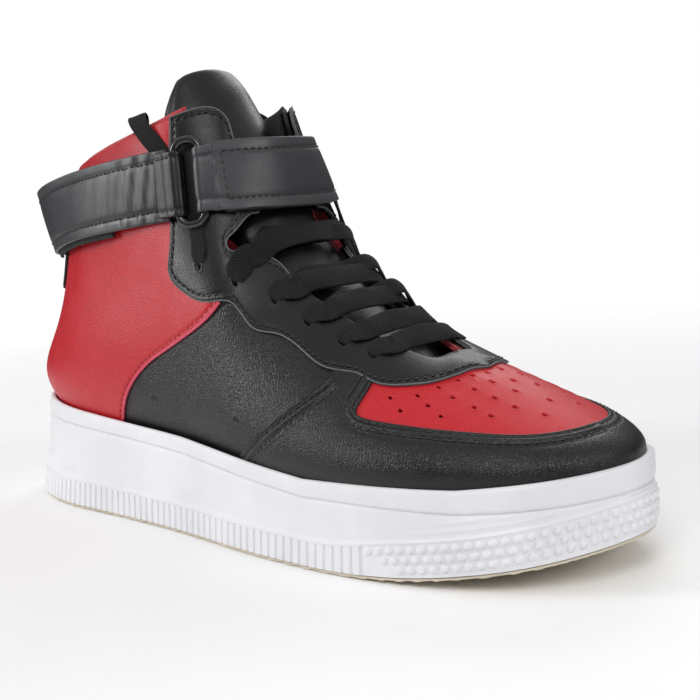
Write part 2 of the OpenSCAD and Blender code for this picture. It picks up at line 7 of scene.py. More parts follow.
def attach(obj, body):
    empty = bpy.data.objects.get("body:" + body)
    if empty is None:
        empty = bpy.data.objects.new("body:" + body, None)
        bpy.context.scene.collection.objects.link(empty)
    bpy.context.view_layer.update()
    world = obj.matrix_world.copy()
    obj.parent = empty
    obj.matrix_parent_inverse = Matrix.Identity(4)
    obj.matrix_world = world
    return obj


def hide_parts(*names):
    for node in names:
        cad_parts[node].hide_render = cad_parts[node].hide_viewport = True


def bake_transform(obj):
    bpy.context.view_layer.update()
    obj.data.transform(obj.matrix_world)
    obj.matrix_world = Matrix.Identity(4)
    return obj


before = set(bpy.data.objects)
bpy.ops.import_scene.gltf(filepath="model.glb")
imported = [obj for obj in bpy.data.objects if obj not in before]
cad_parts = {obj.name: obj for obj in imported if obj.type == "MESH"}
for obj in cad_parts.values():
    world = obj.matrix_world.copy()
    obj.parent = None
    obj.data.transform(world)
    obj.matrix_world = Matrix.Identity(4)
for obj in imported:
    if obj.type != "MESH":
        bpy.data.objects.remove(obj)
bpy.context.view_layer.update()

R = np.random.RandomState(7)

# ------------------------------------------------------------------ the last
# Inner side of the upper, column by column from heel to toe, sole line to top edge
MED = np.array([
 [[-137.5,0,39],[-144,0,54],[-134,0,72],[-126,0,91],[-120,0,114],[-114,0,138]],
 [[-130,17.5,39],[-136,20.5,54],[-127.5,19,72],[-119,17.5,92],[-113.5,17,115],[-107,15,140.5]],
 [[-107,30,38],[-110,34,54],[-103.5,32.5,74],[-97,30,96],[-91,28,120],[-86,25,145]],
 [[-82,34.5,37],[-82,38.5,54],[-77,38,76],[-72,34.5,98],[-67,33,123],[-62,29.5,149.5]],
 [[-54,36.5,35],[-54,40.5,53],[-50,40,77],[-46,37,101],[-42,35,128],[-39,31.5,154]],
 [[-28,38,33],[-28,42,51],[-25,41,76],[-21,38,101],[-20,33.5,129],[-20,27,159]],
 [[-2,41,31],[-2,45,48],[-1,43,70],[1,37.5,93],[-2,27,121],[-9,17,155]],
 [[22,44,28],[22,48,43],[20,44.5,61],[16,36.5,81],[9,24.5,103],[1,15,125]],
 [[46,45.5,26],[45,49,39],[41,45,54],[35,36.5,70],[27,24,87],[17,14,104]],
 [[70,45.5,26],[69,49,37],[65,44,49],[57,34.5,62],[47,22,76],[36,12,90]],
 [[94,43.5,27],[93,46.5,37],[88,41,47],[79,31,58],[68,19.5,68.5],[55,10,78]],
 [[117,37,28],[116,40,37.5],[110,35,46.5],[100,25.5,55],[87,15.5,63],[68,7,71.5]],
 [[135,24.5,30],[136,26.5,38],[129,23,45.5],[116,16,53],[98,9.5,61.5],[75,3.5,69.5]],
 [[144.5,0,31],[147,0,39],[138,0,45.5],[122,0,52.5],[102,0,60.5],[77,0,69]]], float)

def fuller(x, v):
    return 1 + (1 - 0.8*v)*(0.09*np.exp(-((x+105)/35)**2) + 0.10*np.exp(-((x-65)/32)**2))

TABLE = np.zeros((26, 6, 3))
for c in range(14):
    TABLE[c] = MED[c]*[1, -1, 1]
for c in range(1, 13):
    A = MED[c].copy()
    for r in range(6):
        A[r, 1] *= fuller(A[r, 0], r/5)
    TABLE[26-c] = A

def ring_coef(P):
    n = len(P); A = np.zeros((n, n))
    for i in range(n):
        A[i, i] = 4/6; A[i, (i-1) % n] = 1/6; A[i, (i+1) % n] = 1/6
    return np.linalg.solve(A, P.reshape(n, -1)).reshape(P.shape)

def line_coef(P):
    n = len(P); A = np.zeros((n+2, n+2)); B = np.zeros((n+2,)+P.shape[1:])
    A[0, 0:3] = [1, -2, 1]
    for i in range(n):
        A[i+1, i:i+3] = [1/6, 4/6, 1/6]; B[i+1] = P[i]
    A[n+1, n-1:n+2] = [1, -2, 1]
    return np.linalg.solve(A, B.reshape(n+2, -1)).reshape((n+2,)+P.shape[1:])

COEF = np.swapaxes(line_coef(np.swapaxes(ring_coef(TABLE), 0, 1)), 0, 1)

def basis(t):
    return np.stack([(1-t)**3/6, (3*t**3-6*t**2+4)/6, (-3*t**3+3*t**2+3*t+1)/6, t**3/6], -1)

def S(u, v):
    u = np.asarray(u, float) % 26; v = np.asarray(v, float)*5
    u, v = np.broadcast_arrays(u, v)
    iu = np.floor(u).astype(int); iv = np.clip(np.floor(v).astype(int), 0, 4)
    bu = basis(u-iu); bv = basis(v-iv); out = 0
    for a in range(4):
        for b in range(4):
            out = out + (bu[..., a]*bv[..., b])[..., None]*COEF[(iu+a-1) % 26, iv+b]
    return out

def unit(x):
    x = np.asarray(x, float)
    return x/np.maximum(np.linalg.norm(x, axis=-1, keepdims=True), 1e-12)

def tangents(u, v):
    return (S(np.asarray(u)+.01, v)-S(np.asarray(u)-.01, v))/.02, (S(u, np.asarray(v)+.005)-S(u, np.asarray(v)-.005))/.01

def nrm(u, v):
    a, b = tangents(u, v)
    return unit(np.cross(a, b))

def off(u, v, d):
    return S(u, v)+nrm(u, v)*np.asarray(d)[..., None]

# ------------------------------------------------------------- mesh helpers
MATS = {}

def mesh(name, V, F, mats, ride="shoe", node=None, face_mat=None, uv=None, smooth=True, flat_angle=None):
    me = bpy.data.meshes.new(name)
    V = np.asarray(V, float)/1000
    me.from_pydata(V.tolist(), [], [list(map(int, f)) for f in F])
    me.validate()
    if uv is not None:
        layer = me.uv_layers.new(name="run")
        idx = np.zeros(len(me.loops), int); me.loops.foreach_get("vertex_index", idx)
        layer.data.foreach_set("uv", np.asarray(uv, float)[idx].ravel())
    ob = bpy.data.objects.new(name, me)
    bpy.context.scene.collection.objects.link(ob)
    for m in (mats if isinstance(mats, (list, tuple)) else [mats]):
        me.materials.append(m)
    if face_mat is not None:
        me.polygons.foreach_set("material_index", np.asarray(face_mat, np.int32))
    me.polygons.foreach_set("use_smooth", np.full(len(me.polygons), smooth))
    if flat_angle:
        me.set_sharp_from_angle(angle=math.radians(flat_angle))
    me.update()
    if ride:
        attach(ob, ride)
    if node:
        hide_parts(*([node] if isinstance(node, str) else node))
    return ob

def loft(loops, shut=False, caps=True):
    """Closed solid through a row of equal closed loops of points."""
    L = np.asarray(loops, float); n, m = L.shape[:2]
    F = []
    for i in range(n if shut else n-1):
        for k in range(m):
            a = i*m+k; b = i*m+(k+1) % m; c = ((i+1) % n)*m+(k+1) % m; d = ((i+1) % n)*m+k
            F.append((a, b, c, d))
    V = L.reshape(-1, 3)
    if not shut and caps:
        F.append(tuple(range(m))[::-1]); F.append(tuple((n-1)*m+k for k in range(m)))
    vol = 0
    for f in F:
        p = V[list(f)]
        for j in range(1, len(f)-1):
            vol += np.dot(p[0], np.cross(p[j], p[j+1]))
    if vol < 0:
        F = [f[::-1] for f in F]
    return V, F

def grid_uv(n, m, lu, lv):
    return np.array([[lu*i, lv*k/m] for i in range(n) for k in range(m)])

def chaikin(P, k=3, closed=False):
    P = np.asarray(P, float)
    for _ in range(k):
        if closed:
            Q = np.roll(P, -1, 0); P = np.stack([.75*P+.25*Q, .25*P+.75*Q], 1).reshape(-1, P.shape[1])
        else:
            A, B = P[:-1], P[1:]
            M = np.stack([.75*A+.25*B, .25*A+.75*B], 1).reshape(-1, P.shape[1])
            P = np.vstack([P[:1], M[1:-1], P[-1:]])
    return P

def resample(P, step, X=None):
    """Points at an equal step along a line; X gives the line's place in space."""
    P = np.asarray(P, float); X = P if X is None else X
    d = np.concatenate([[0], np.cumsum(np.linalg.norm(np.diff(X, axis=0), axis=1))])
    n = max(2, int(round(d[-1]/step))+1)
    t = np.linspace(0, d[-1], n)
    return np.stack([np.interp(t, d, P[:, k]) for k in range(P.shape[1])], 1)

def run(pts, step=1.1, k=3):
    P = chaikin(pts, k)
    P = resample(P, .02)
    return resample(P, step, S(P[:, 0], P[:, 1]))

def flip_side(P):
    Q = np.array(P, float)[::-1].copy(); Q[:, 0] = 26-Q[:, 0]
    return Q

def join(*runs):
    out = []
    for r in runs:
        r = np.asarray(r, float)
        if out and np.linalg.norm((out[-1][-1]-r[0])*[22, 75]) < .3:
            r = r[1:]
        out.append(r)
    P = np.vstack(out)
    if np.linalg.norm((P[0]-P[-1])*[22, 75]) < .3:
        P = P[:-1]
    return P

def shift(P, r, closed=False):
    """A line moved sideways by r mm over the surface (to its left)."""
    P = np.asarray(P, float)
    a, b = tangents(P[:, 0], P[:, 1]); su = np.linalg.norm(a, axis=1); sv = np.linalg.norm(b, axis=1)
    D = (np.roll(P, -1, 0)-np.roll(P, 1, 0)) if closed else np.gradient(P, axis=0)
    t = unit(np.stack([D[:, 0]*su, D[:, 1]*sv], 1))
    n = np.stack([-t[:, 1], t[:, 0]], 1)
    return P+np.stack([n[:, 0]*r/su, n[:, 1]*r/sv], 1)

def nearest(X, Y):
    t = kdtree.KDTree(len(Y))
    for i, y in enumerate(Y):
        t.insert(y, i)
    t.balance()
    return np.array([t.find(x)[2] for x in X])

def inside(P, loops):
    x, y = P[:, 0], P[:, 1]; c = np.zeros(len(P), bool)
    for L in loops:
        A = L; B = np.roll(L, -1, 0)
        for (x0, y0), (x1, y1) in zip(A, B):
            if y0 == y1:
                continue
            m = ((y0 > y) != (y1 > y)) & (x < (x1-x0)*(y-y0)/(y1-y0)+x0)
            c ^= m
    return c

def hole(c, r, n=12):
    a, b = tangents(*c); su, sv = np.linalg.norm(a), np.linalg.norm(b)
    t = np.arange(n)*2*np.pi/n
    return np.stack([c[0]+r*np.cos(t)/su, c[1]+r*np.sin(t)/sv], 1)

ROWS = (.3, .7, 1.2, 1.8, 2.4, 3.1, 3.9, 4.8, 6.0)
K = np.array([22., 75.])

def panel(name, outline, top, th, mats, node, ride="shoe", holes=(), seams=(), round_r=.45, puff=.3,
          du=.1, dv=.031, hole_rim=.15, extra=None, min_gap=.9):
    """A sheet of leather over the surface: outline and holes in (around, up), outer face at height top.
    seams are lines where stitching pulls the leather in."""
    P = np.asarray(outline, float)
    area = np.sum(P[:, 0]*np.roll(P[:, 1], -1)-np.roll(P[:, 0], -1)*P[:, 1])
    if area < 0:
        P = P[::-1]
    loops = [P]+[np.asarray(h)[::-1] for h in holes]
    edge3 = np.vstack([S(L[:, 0], L[:, 1]) for L in loops])
    dense = np.vstack([S(*resample(np.vstack([L, L[:1]]), .01).T) for L in loops])
    pts = []
    def keep(Q, gap):
        if not len(Q):
            return
        Q = Q[inside(Q, loops)]
        if len(Q):
            d = nearest(S(Q[:, 0], Q[:, 1]), dense)
            pts.append(Q[d > gap])
    for r in ROWS:
        keep(shift(P, r, True), .6*r)
    for L in loops[1:]:
        for r in (.3, .7, 1.2, 1.9):
            keep(shift(L, r, True), .5*r)
    for line, depth, width in seams:
        for r in (-1.8, -.9, 0, .9, 1.8):
            keep(shift(line, r*width), .25)
    u0, v0 = P.min(0); u1, v1 = P.max(0)
    uu, vv = np.meshgrid(np.arange(u0, u1, du), np.arange(v0, v1, dv), indexing="ij")
    uu = uu+(np.round(vv/dv).astype(int) % 2)*du/2
    keep(np.stack([uu.ravel(), vv.ravel()], 1), 7.0)
    # fill round holes too, where the rows of the outline leave gaps
    if extra is None:
        Q = np.stack([uu.ravel(), vv.ravel()], 1)
        Q = Q[inside(Q, loops)]
        d = nearest(S(Q[:, 0], Q[:, 1]), dense)
        dp = nearest(S(Q[:, 0], Q[:, 1]), S(*resample(np.vstack([P, P[:1]]), .01).T))
        pts.append(Q[(d > 2.8) & (d <= 7.0) & (dp > 6.8)])
    Q = np.vstack(pts)
    # drop points that fall in a .24 mm cell already taken by one kept before them
    X = S(Q[:, 0], Q[:, 1]); cell = {}; ok = []
    for i, x in enumerate(X):
        k = tuple(np.floor(x/.24).astype(int))
        if k in cell:
            continue
        cell[k] = 1; ok.append(i)
    # points on the first fine rows are always wanted
    Q = Q[ok]
    nb = sum(len(L) for L in loops)
    base = []; e = []
    for L in loops:
        s = len(base); base += L.tolist(); n = len(L)
        e += [(s+i, s+(i+1) % n) for i in range(n)]
    allp = np.vstack([np.array(base), Q])
    vs, es, fs, ov, oe, of = delaunay_2d_cdt([tuple(p*K) for p in allp], e, [], 0, 1e-6)
    V2 = np.array([[p[0], p[1]] for p in vs])/K
    F = np.array([f for f in fs if len(f) == 3])
    C = V2[F].mean(1)
    F = F[inside(C, loops)]
    # vertices of the outline, in the order of the result
    d3 = S(V2[:, 0], V2[:, 1])
    de = nearest(d3, dense)
    onb = np.zeros(len(V2), bool)
    cnt = {}
    for f in F:
        for i in range(3):
            k = (min(f[i], f[(i+1) % 3]), max(f[i], f[(i+1) % 3])); cnt[k] = cnt.get(k, 0)+1
    for (a, b), c in cnt.items():
        if c == 1:
            onb[a] = onb[b] = True
    de[onb] = 0
    h = np.full(len(V2), float(top))
    if holes:
        de = nearest(d3, S(*resample(np.vstack([P, P[:1]]), .004).T)); hd = nearest(d3, np.vstack([S(*resample(np.vstack([L, L[:1]]), .002).T) for L in loops[1:]]))
        hd[hd < .09] = 0; de[de < .09] = 0
        q = np.clip(1-hd/.22, 0, 1); h -= .22*(1-np.sqrt(np.clip(1-q*q, 0, 1)))
    h += puff*(1-np.exp(-de/5.0))
    q = np.clip(1-de/round_r, 0, 1)
    h -= round_r*(1-np.sqrt(np.clip(1-q*q, 0, 1)))
    for line, depth, width in seams:
        ds = nearest(d3, S(line[:, 0], line[:, 1]))
        h -= depth*np.exp(-(ds/width)**2)
    if holes:
        h += hole_rim*np.exp(-((hd-.6)/.4)**2)
    nn = nrm(V2[:, 0], V2[:, 1])
    Vt = d3+nn*h[:, None]; Vb = d3+nn*(top-th)
    n = len(V2)
    faces = [tuple(f) for f in F]+[tuple(n+f[::-1]) for f in F]
    fm = [0]*(2*len(F))
    dirs = {}
    for f in F:
        for i in range(3):
            a, b = int(f[i]), int(f[(i+1) % 3])
            if cnt[(min(a, b), max(a, b))] == 1:
                faces.append((b, a, n+a, n+b)); fm.append(1)
    used = np.zeros(2*n, bool)
    for f in faces:
        used[list(f)] = True
    V = np.vstack([Vt, Vb]); remap = np.cumsum(used)-1
    faces = [tuple(int(remap[i]) for i in f) for f in faces]
    uv = np.vstack([V2*K, V2*K])[used]
    return mesh(name, V[used], faces, mats, ride, node, face_mat=fm, uv=uv, flat_angle=55)

def tube(name, P, r, mat, ride="shoe", n=8, squash=None, N=None, node=None):
    P = np.asarray(P, float); T = unit(np.gradient(P, axis=0))
    if N is None:
        N = np.tile([0., 0., 1.], (len(P), 1))
    B = unit(np.cross(T, N)); N2 = np.cross(B, T)
    t = np.arange(n)*2*np.pi/n
    r = np.broadcast_to(np.asarray(r, float), (len(P),))
    L = P[:, None]+(B[:, None]*np.cos(t)[None, :, None]+N2[:, None]*np.sin(t)[None, :, None]*(squash or 1))*r[:, None, None]
    V, F = loft(L)
    return mesh(name, V, F, mat, ride, node)

def stitches(name, X, N, mat, slot, ride="shoe", pitch=2.9, length=2.1, r=.3, lift=.05):
    """A row of thread stitches lying along the line X with outward directions N."""
    d = np.concatenate([[0], np.cumsum(np.linalg.norm(np.diff(X, axis=0), axis=1))])
    n = int(d[-1]/pitch); V = []; F = []
    t6 = np.arange(6)*np.pi/3
    prof = [(-1, .25, -.35), (-.75, .8, -.02), (0, 1, .12), (.75, .8, -.02), (1, .25, -.35)]
    for k in range(n):
        c = (k+.5)*d[-1]/n
        p = np.array([np.interp(c, d, X[:, j]) for j in range(3)])
        a = np.array([np.interp(min(c+.6, d[-1]), d, X[:, j]) for j in range(3)])
        b = np.array([np.interp(max(c-.6, 0), d, X[:, j]) for j in range(3)])
        nn = unit(np.array([np.interp(c, d, N[:, j]) for j in range(3)]))
        t = unit(a-b); s = unit(np.cross(nn, t)); s0 = len(V)
        for x, q, z in prof:
            o = p+t*x*length/2+nn*(lift+z)
            for w in t6:
                V.append(o+(s*math.cos(w)+nn*math.sin(w)*.75)*r*q)
        for i in range(4):
            for j in range(6):
                F.append((s0+i*6+j, s0+i*6+(j+1) % 6, s0+(i+1)*6+(j+1) % 6, s0+(i+1)*6+j))
        F.append(tuple(s0+j for j in range(6))[::-1]); F.append(tuple(s0+24+j for j in range(6)))
    return mesh(name, V, F, mat, ride, None)

def seam_stitch(name, line, d, mat, slot, **k):
    X = off(line[:, 0], line[:, 1], np.full(len(line), d)); return stitches(name, X, nrm(line[:, 0], line[:, 1]), mat, slot, **k)

# ---------------------------------------------------------------- materials
def material(name, color, rough, build=None, spec=.5, coat=0, sheen=0):
    m = bpy.data.materials.new(name); m.use_nodes = True
    nt = m.node_tree; b = nt.nodes["Principled BSDF"]
    b.inputs["Base Color"].default_value = (*color, 1)
    b.inputs["Roughness"].default_value = rough
    b.inputs["Specular IOR Level"].default_value = spec
    b.inputs["Coat Weight"].default_value = coat
    b.inputs["Coat Roughness"].default_value = .25
    b.inputs["Sheen Weight"].default_value = sheen
    m.diffuse_color = (*color, 1)
    if build:
        build(nt, b)
    return m

def add(nt, kind, **inp):
    n = nt.nodes.new(kind)
    for k, v in inp.items():
        if k in n.inputs:
            n.inputs[k].default_value = v
        else:
            setattr(n, k, v)
    return n

def link(nt, a, b):
    nt.links.new(a, b)

def coords(nt, uv=False):
    return nt.nodes.new("ShaderNodeTexCoord").outputs["UV" if uv else "Object"]

def maths(nt, op, a, b=None):
    n = nt.nodes.new("ShaderNodeMath"); n.operation = op
    for i, x in enumerate((a, b)):
        if x is None:
            continue
        if hasattr(x, "links"):
            nt.links.new(x, n.inputs[i])
        else:
            n.inputs[i].default_value = x
    return n.outputs[0]

def mix_color(nt, fac, a, b):
    n = nt.nodes.new("ShaderNodeMix"); n.data_type = "RGBA"
    nt.links.new(fac, n.inputs[0])
    n.inputs[6].default_value = (*a, 1); n.inputs[7].default_value = (*b, 1)
    return n.outputs[2]

def ramp(nt, x, lo, hi, a=0., b=1.):
    n = nt.nodes.new("ShaderNodeMapRange"); n.inputs[1].default_value = lo; n.inputs[2].default_value = hi
    n.inputs[3].default_value = a; n.inputs[4].default_value = b
    nt.links.new(x, n.inputs[0]); return n.outputs[0]

def leather(c0, c1, grain=760, strength=.5, depth=.00012, rough=(.38, .52), wrinkle=.5, wear=None):
    def f(nt, b):
        co = coords(nt)
        warp = add(nt, "ShaderNodeTexNoise", Scale=300.0, Detail=2.0); link(nt, co, warp.inputs["Vector"])
        mixv = nt.nodes.new("ShaderNodeMix"); mixv.data_type = "VECTOR"; mixv.inputs[0].default_value = .0009
        link(nt, co, mixv.inputs[4]); link(nt, warp.outputs["Color"], mixv.inputs[5])
        v = add(nt, "ShaderNodeTexVoronoi", Scale=float(grain)); v.feature = "DISTANCE_TO_EDGE"
        link(nt, mixv.outputs[1], v.inputs["Vector"])
        pebble = ramp(nt, v.outputs["Distance"], 0.0, .32)
        fine = add(nt, "ShaderNodeTexNoise", Scale=2600.0, Detail=3.0); link(nt, co, fine.inputs["Vector"])
        big = add(nt, "ShaderNodeTexNoise", Scale=55.0, Detail=4.0, Roughness=.6); link(nt, co, big.inputs["Vector"])
        mp = nt.nodes.new("ShaderNodeMapping"); mp.inputs["Scale"].default_value = (160, 420, 260); link(nt, co, mp.inputs["Vector"])
        wr = add(nt, "ShaderNodeTexNoise", Scale=1.0, Detail=3.0, Roughness=.55); link(nt, mp.outputs[0], wr.inputs["Vector"])
        h = maths(nt, "ADD", maths(nt, "MULTIPLY", pebble, 1.0), maths(nt, "MULTIPLY", fine.outputs["Fac"], .25))
        h = maths(nt, "ADD", h, maths(nt, "MULTIPLY", wr.outputs["Fac"], wrinkle))
        bp = add(nt, "ShaderNodeBump", Strength=strength, Distance=depth); link(nt, h, bp.inputs["Height"])
        link(nt, bp.outputs[0], b.inputs["Normal"])
        shade = maths(nt, "MULTIPLY", pebble, ramp(nt, big.outputs["Fac"], .3, .7, .75, 1.0))
        link(nt, mix_color(nt, shade, c0, c1), b.inputs["Base Color"])
        link(nt, ramp(nt, big.outputs["Fac"], .3, .7, rough[0], rough[1]), b.inputs["Roughness"])
    return f

def woven(c0, c1, su, sv, strength=.8, depth=.0003):
    """Twill weave along the piece's own length."""
    def f(nt, b):
        sep = nt.nodes.new("ShaderNodeSeparateXYZ"); link(nt, coords(nt, True), sep.inputs[0])
        a = maths(nt, "MULTIPLY", sep.outputs[0], su); c = maths(nt, "ABSOLUTE", sep.outputs[1])
        w1 = maths(nt, "SINE", maths(nt, "ADD", a, maths(nt, "MULTIPLY", c, sv)))
        w2 = maths(nt, "SINE", maths(nt, "MULTIPLY", c, sv*2.1))
        h = maths(nt, "ADD", maths(nt, "MULTIPLY", w1, .6), maths(nt, "MULTIPLY", w2, .35))
        n = add(nt, "ShaderNodeTexNoise", Scale=1800.0, Detail=2.0); link(nt, coords(nt), n.inputs["Vector"])
        h = maths(nt, "ADD", h, maths(nt, "MULTIPLY", n.outputs["Fac"], .8))
        bp = add(nt, "ShaderNodeBump", Strength=strength, Distance=depth); link(nt, h, bp.inputs["Height"])
        link(nt, bp.outputs[0], b.inputs["Normal"])
        link(nt, mix_color(nt, ramp(nt, h, -.3, 1.2), c0, c1), b.inputs["Base Color"])
    return f

def knit(c0, c1, scale=900, depth=.0004, strength=.7):
    def f(nt, b):
        co = coords(nt)
        n = add(nt, "ShaderNodeTexNoise", Scale=float(scale), Detail=4.0, Roughness=.7); link(nt, co, n.inputs["Vector"])
        v = add(nt, "ShaderNodeTexVoronoi", Scale=float(scale)*1.4); link(nt, co, v.inputs["Vector"])
        h = maths(nt, "ADD", n.outputs["Fac"], maths(nt, "MULTIPLY", v.outputs["Distance"], .6))
        bp = add(nt, "ShaderNodeBump", Strength=strength, Distance=depth); link(nt, h, bp.inputs["Height"])
        link(nt, bp.outputs[0], b.inputs["Normal"])
        link(nt, mix_color(nt, ramp(nt, h, .4, 1.1), c0, c1), b.inputs["Base Color"])
    return f

def rubber(c0, c1, scale=1100, depth=.00012, strength=.45):
    def f(nt, b):
        co = coords(nt)
        v = add(nt, "ShaderNodeTexVoronoi", Scale=float(scale)); v.feature = "SMOOTH_F1"; link(nt, co, v.inputs["Vector"])
        n = add(nt, "ShaderNodeTexNoise", Scale=40.0, Detail=4.0); link(nt, co, n.inputs["Vector"])
        bp = add(nt, "ShaderNodeBump", Strength=strength, Distance=depth); link(nt, v.outputs["Distance"], bp.inputs["Height"])
        link(nt, bp.outputs[0], b.inputs["Normal"])
        link(nt, mix_color(nt, ramp(nt, n.outputs["Fac"], .35, .65), c0, c1), b.inputs["Base Color"])
    return f

BLACK = material("leather_black", (.013, .013, .015), .42, leather((.003, .003, .0036), (.0085, .0085, .010), 1050, .6, .00013, (.33, .45), .22), spec=.45)
BLACK_SMOOTH = material("leather_black_smooth", (.012, .012, .013), .34, leather((.003, .003, .0036), (.0075, .0075, .0085), 1100, .4, .00008, (.3, .42), .4), spec=.4)
RED = material("leather_red", (.56, .02, .03), .42, leather((.46, .011, .019), (.60, .022, .032), 800, .4, .0001, (.36, .48)), spec=.35)
RED_TOE = material("leather_red_fine", (.58, .02, .03), .42, leather((.50, .012, .02), (.62, .022, .03), 1100, .3, .00007, (.38, .5), .8), spec=.35)
STRAP = material("leather_strap", (.05, .05, .055), .4, leather((.030, .031, .035), (.052, .054, .061), 1300, .3, .00006, (.33, .46), .6))
# Lighter than STRAP: a painted highlight over the strap's 4.2 mm border and rim. The same material also colours the
# strap's cut edges and underside.
STRAP_EDGE_PAINTED_HIGHLIGHT = material("leather_strap_edge_painted_highlight", (.09, .09, .10), .42, leather((.042, .043, .048), (.070, .072, .080), 1300, .25, .00005, (.34, .46), .5))
# Painted shade: mixes a material's colour towards near black over the stretch of belt nearest the ring (object x above
# -34 mm).
def paint_shade_by_loop(m):
    nt = m.node_tree; b = nt.nodes["Principled BSDF"]; src = b.inputs["Base Color"].links[0].from_socket
    sep = nt.nodes.new("ShaderNodeSeparateXYZ"); link(nt, coords(nt), sep.inputs[0])
    n = nt.nodes.new("ShaderNodeMix"); n.data_type = "RGBA"; link(nt, ramp(nt, sep.outputs[0], -.050, -.034, 0, .85), n.inputs[0])
    link(nt, src, n.inputs[6]); n.inputs[7].default_value = (.006, .006, .007, 1); link(nt, n.outputs[2], b.inputs["Base Color"])
    return m
# Belt materials: both carry painted shade towards the ring, and the edge one also carries the painted border highlight.
STRAP_B = paint_shade_by_loop(material("leather_belt", (.05, .05, .055), .4, leather((.030, .031, .035), (.052, .054, .061), 1300, .3, .00006, (.30, .44), .6)))
STRAP_EDGE_PAINTED_HIGHLIGHT_B = paint_shade_by_loop(material("leather_belt_edge_painted_highlight", (.09, .09, .10), .42, leather((.042, .043, .048), (.070, .072, .080), 1300, .25, .00005, (.32, .44), .5)))
CUT = material("cut_edge", (.13, .145, .15), .5, leather((.09, .10, .105), (.16, .178, .184), 1500, .4, .0001, (.42, .6)))
PINK = material("seam_edge_red", (.75, .09, .16), .38, leather((.62, .05, .10), (.80, .11, .19), 1300, .25, .00005, (.3, .42)))
THREAD = material("thread_black", (.02, .02, .022), .45, leather((.012, .012, .013), (.035, .035, .038), 2600, .5, .0001, (.4, .55)), coat=.1)
LACE = material("lace_black", (.02, .02, .021), .8, woven((.003, .003, .0034), (.014, .014, .0155), 5200, 3900), spec=.35)
WEB = material("webbing_black", (.014, .014, .015), .85, woven((.004, .004, .0045), (.02, .02, .022), 2600, 3400))
KNIT = material("lining_red", (.5, .03, .04), .85, knit((.30, .012, .02), (.58, .035, .05)), sheen=.2)
KNITB = material("lining_dark", (.03, .03, .032), .9, knit((.008, .008, .009), (.04, .04, .043)), sheen=.1)
TAPE = material("tape_black", (.02, .02, .02), .9, knit((.004, .004, .004), (.045, .045, .048), 1500, .0007, .9))
RUB = material("rubber_white", (.80, .80, .83), .5, rubber((.77, .77, .80), (.83, .83, .86)))
RUBS = material("rubber_white_smooth", (.80, .80, .83), .42, rubber((.78, .78, .81), (.83, .83, .86), 2200, .00004, .2))
TAN = material("rubber_tan", (.66, .58, .46), .6, rubber((.60, .52, .40), (.70, .62, .50), 1500, .0001, .4))
METAL = material("coated_wire", (.01, .01, .011), .24, leather((.008, .008, .009), (.014, .014, .016), 2600, .15, .00004, (.2, .3)), coat=.5)
INSOLE = material("insole_knit", (.02, .02, .022), .9, knit((.006, .006, .007), (.03, .03, .033), 1300))

# --------------------------------------------------------------- outlines
def lat(p):
    return [(26-a, b) for a, b in p][::-1]

# the eyestay: top edge, flap front, notch, throat edge down to the throat's front end
FLAP = [(4.62, 1.0), (5.0, 1.0), (5.4, 1.0), (5.80, 1.0), (6.02, .998), (6.14, .975), (6.3, .968), (6.75, .972), (7.12, .98), (7.02, .955),
        (6.78, .90), (6.50, .835), (6.25, .775), (6.06, .742), (6.05, .722), (6.20, .718), (6.5, .752), (6.95, .812), (7.4, .875), (7.68, .905), (7.98, .892)]
THROAT = [(7.98, .892), (8.6, .893), (9.3, .895), (9.9, .893), (10.4, .89), (10.9, .895), (11.5, .93), (12.2, .965), (13, .978)]
EYE = [(4.62, 1.0), (4.68, .94), (4.74, .86), (4.80, .79), (4.88, .71), (4.88, .64), (4.86, .595), (4.98, .562), (5.20, .545), (5.55, .535), (5.85, .55), (6.12, .58),
       (6.43, .608), (6.75, .604), (7.05, .594), (7.3, .605), (7.75, .652), (8.0, .658), (8.2, .655), (8.62, .627), (8.95, .64), (9.30, .66), (9.48, .648),
       (9.66, .635), (9.90, .64), (10.15, .658), (10.50, .695), (10.78, .74), (11.15, .795), (11.7, .838), (12.30, .865), (13, .868)]
HEELS = [(3.66, .02), (3.72, .04), (3.85, .12), (4.00, .185), (4.23, .25), (4.58, .31), (5.08, .365), (5.50, .425), (5.88, .50), (6.12, .575)]
WRAPS = [(6.55, .02), (6.62, .04), (7.10, .185), (7.93, .365), (8.68, .555), (8.80, .60)]
BOX = [(9.62, .66), (9.56, .62), (9.40, .55), (9.28, .50), (9.26, .475), (9.38, .46), (9.9, .458), (10.4, .452), (10.95, .445), (11.78, .443), (12.35, .447), (13, .455)]
EYELETS = [(9.62, .765), (9.03, .765), (8.30, .765), (7.55, .745), (6.43, .665), (5.55, .63)]
VENTS = [(4.67, .19), (6.78, .24)]
PERF = [(9.88, .585), (10.35, .625), (10.03, .53), (10.50, .58), (10.75, .705), (11.25, .78), (10.95, .655), (10.68, .53), (11.28, .61), (11.50, .73), (11.83, .82),
        (12.20, .78), (11.80, .68), (11.50, .565), (12.05, .625), (12.50, .72), (12.55, .84), (12.45, .565)]
PERF = PERF+[(26-a, b) for a, b in PERF]+[(13, .78), (13, .64)]

eye_r = run(EYE); flap_r = run(FLAP); throat_r = run(THROAT); heel_r = run(HEELS); wrap_r = run(WRAPS); box_r = run(BOX)
eyestay_outline = join(flap_r, throat_r, flip_side(throat_r), flip_side(flap_r), flip_side(eye_r)[::-1], eye_r[::-1])

def lines(*pairs):
    out = []
    for r, dist, depth, width in pairs:
        out.append((shift(r, dist), depth, width))
    return out

both = lambda r: (r, flip_side(r))

def inner_row(r, d):
    """A row parallel to an edge, d mm to the given side; the ends are trimmed a little."""
    q = shift(r, d)
    return q[2:-2]

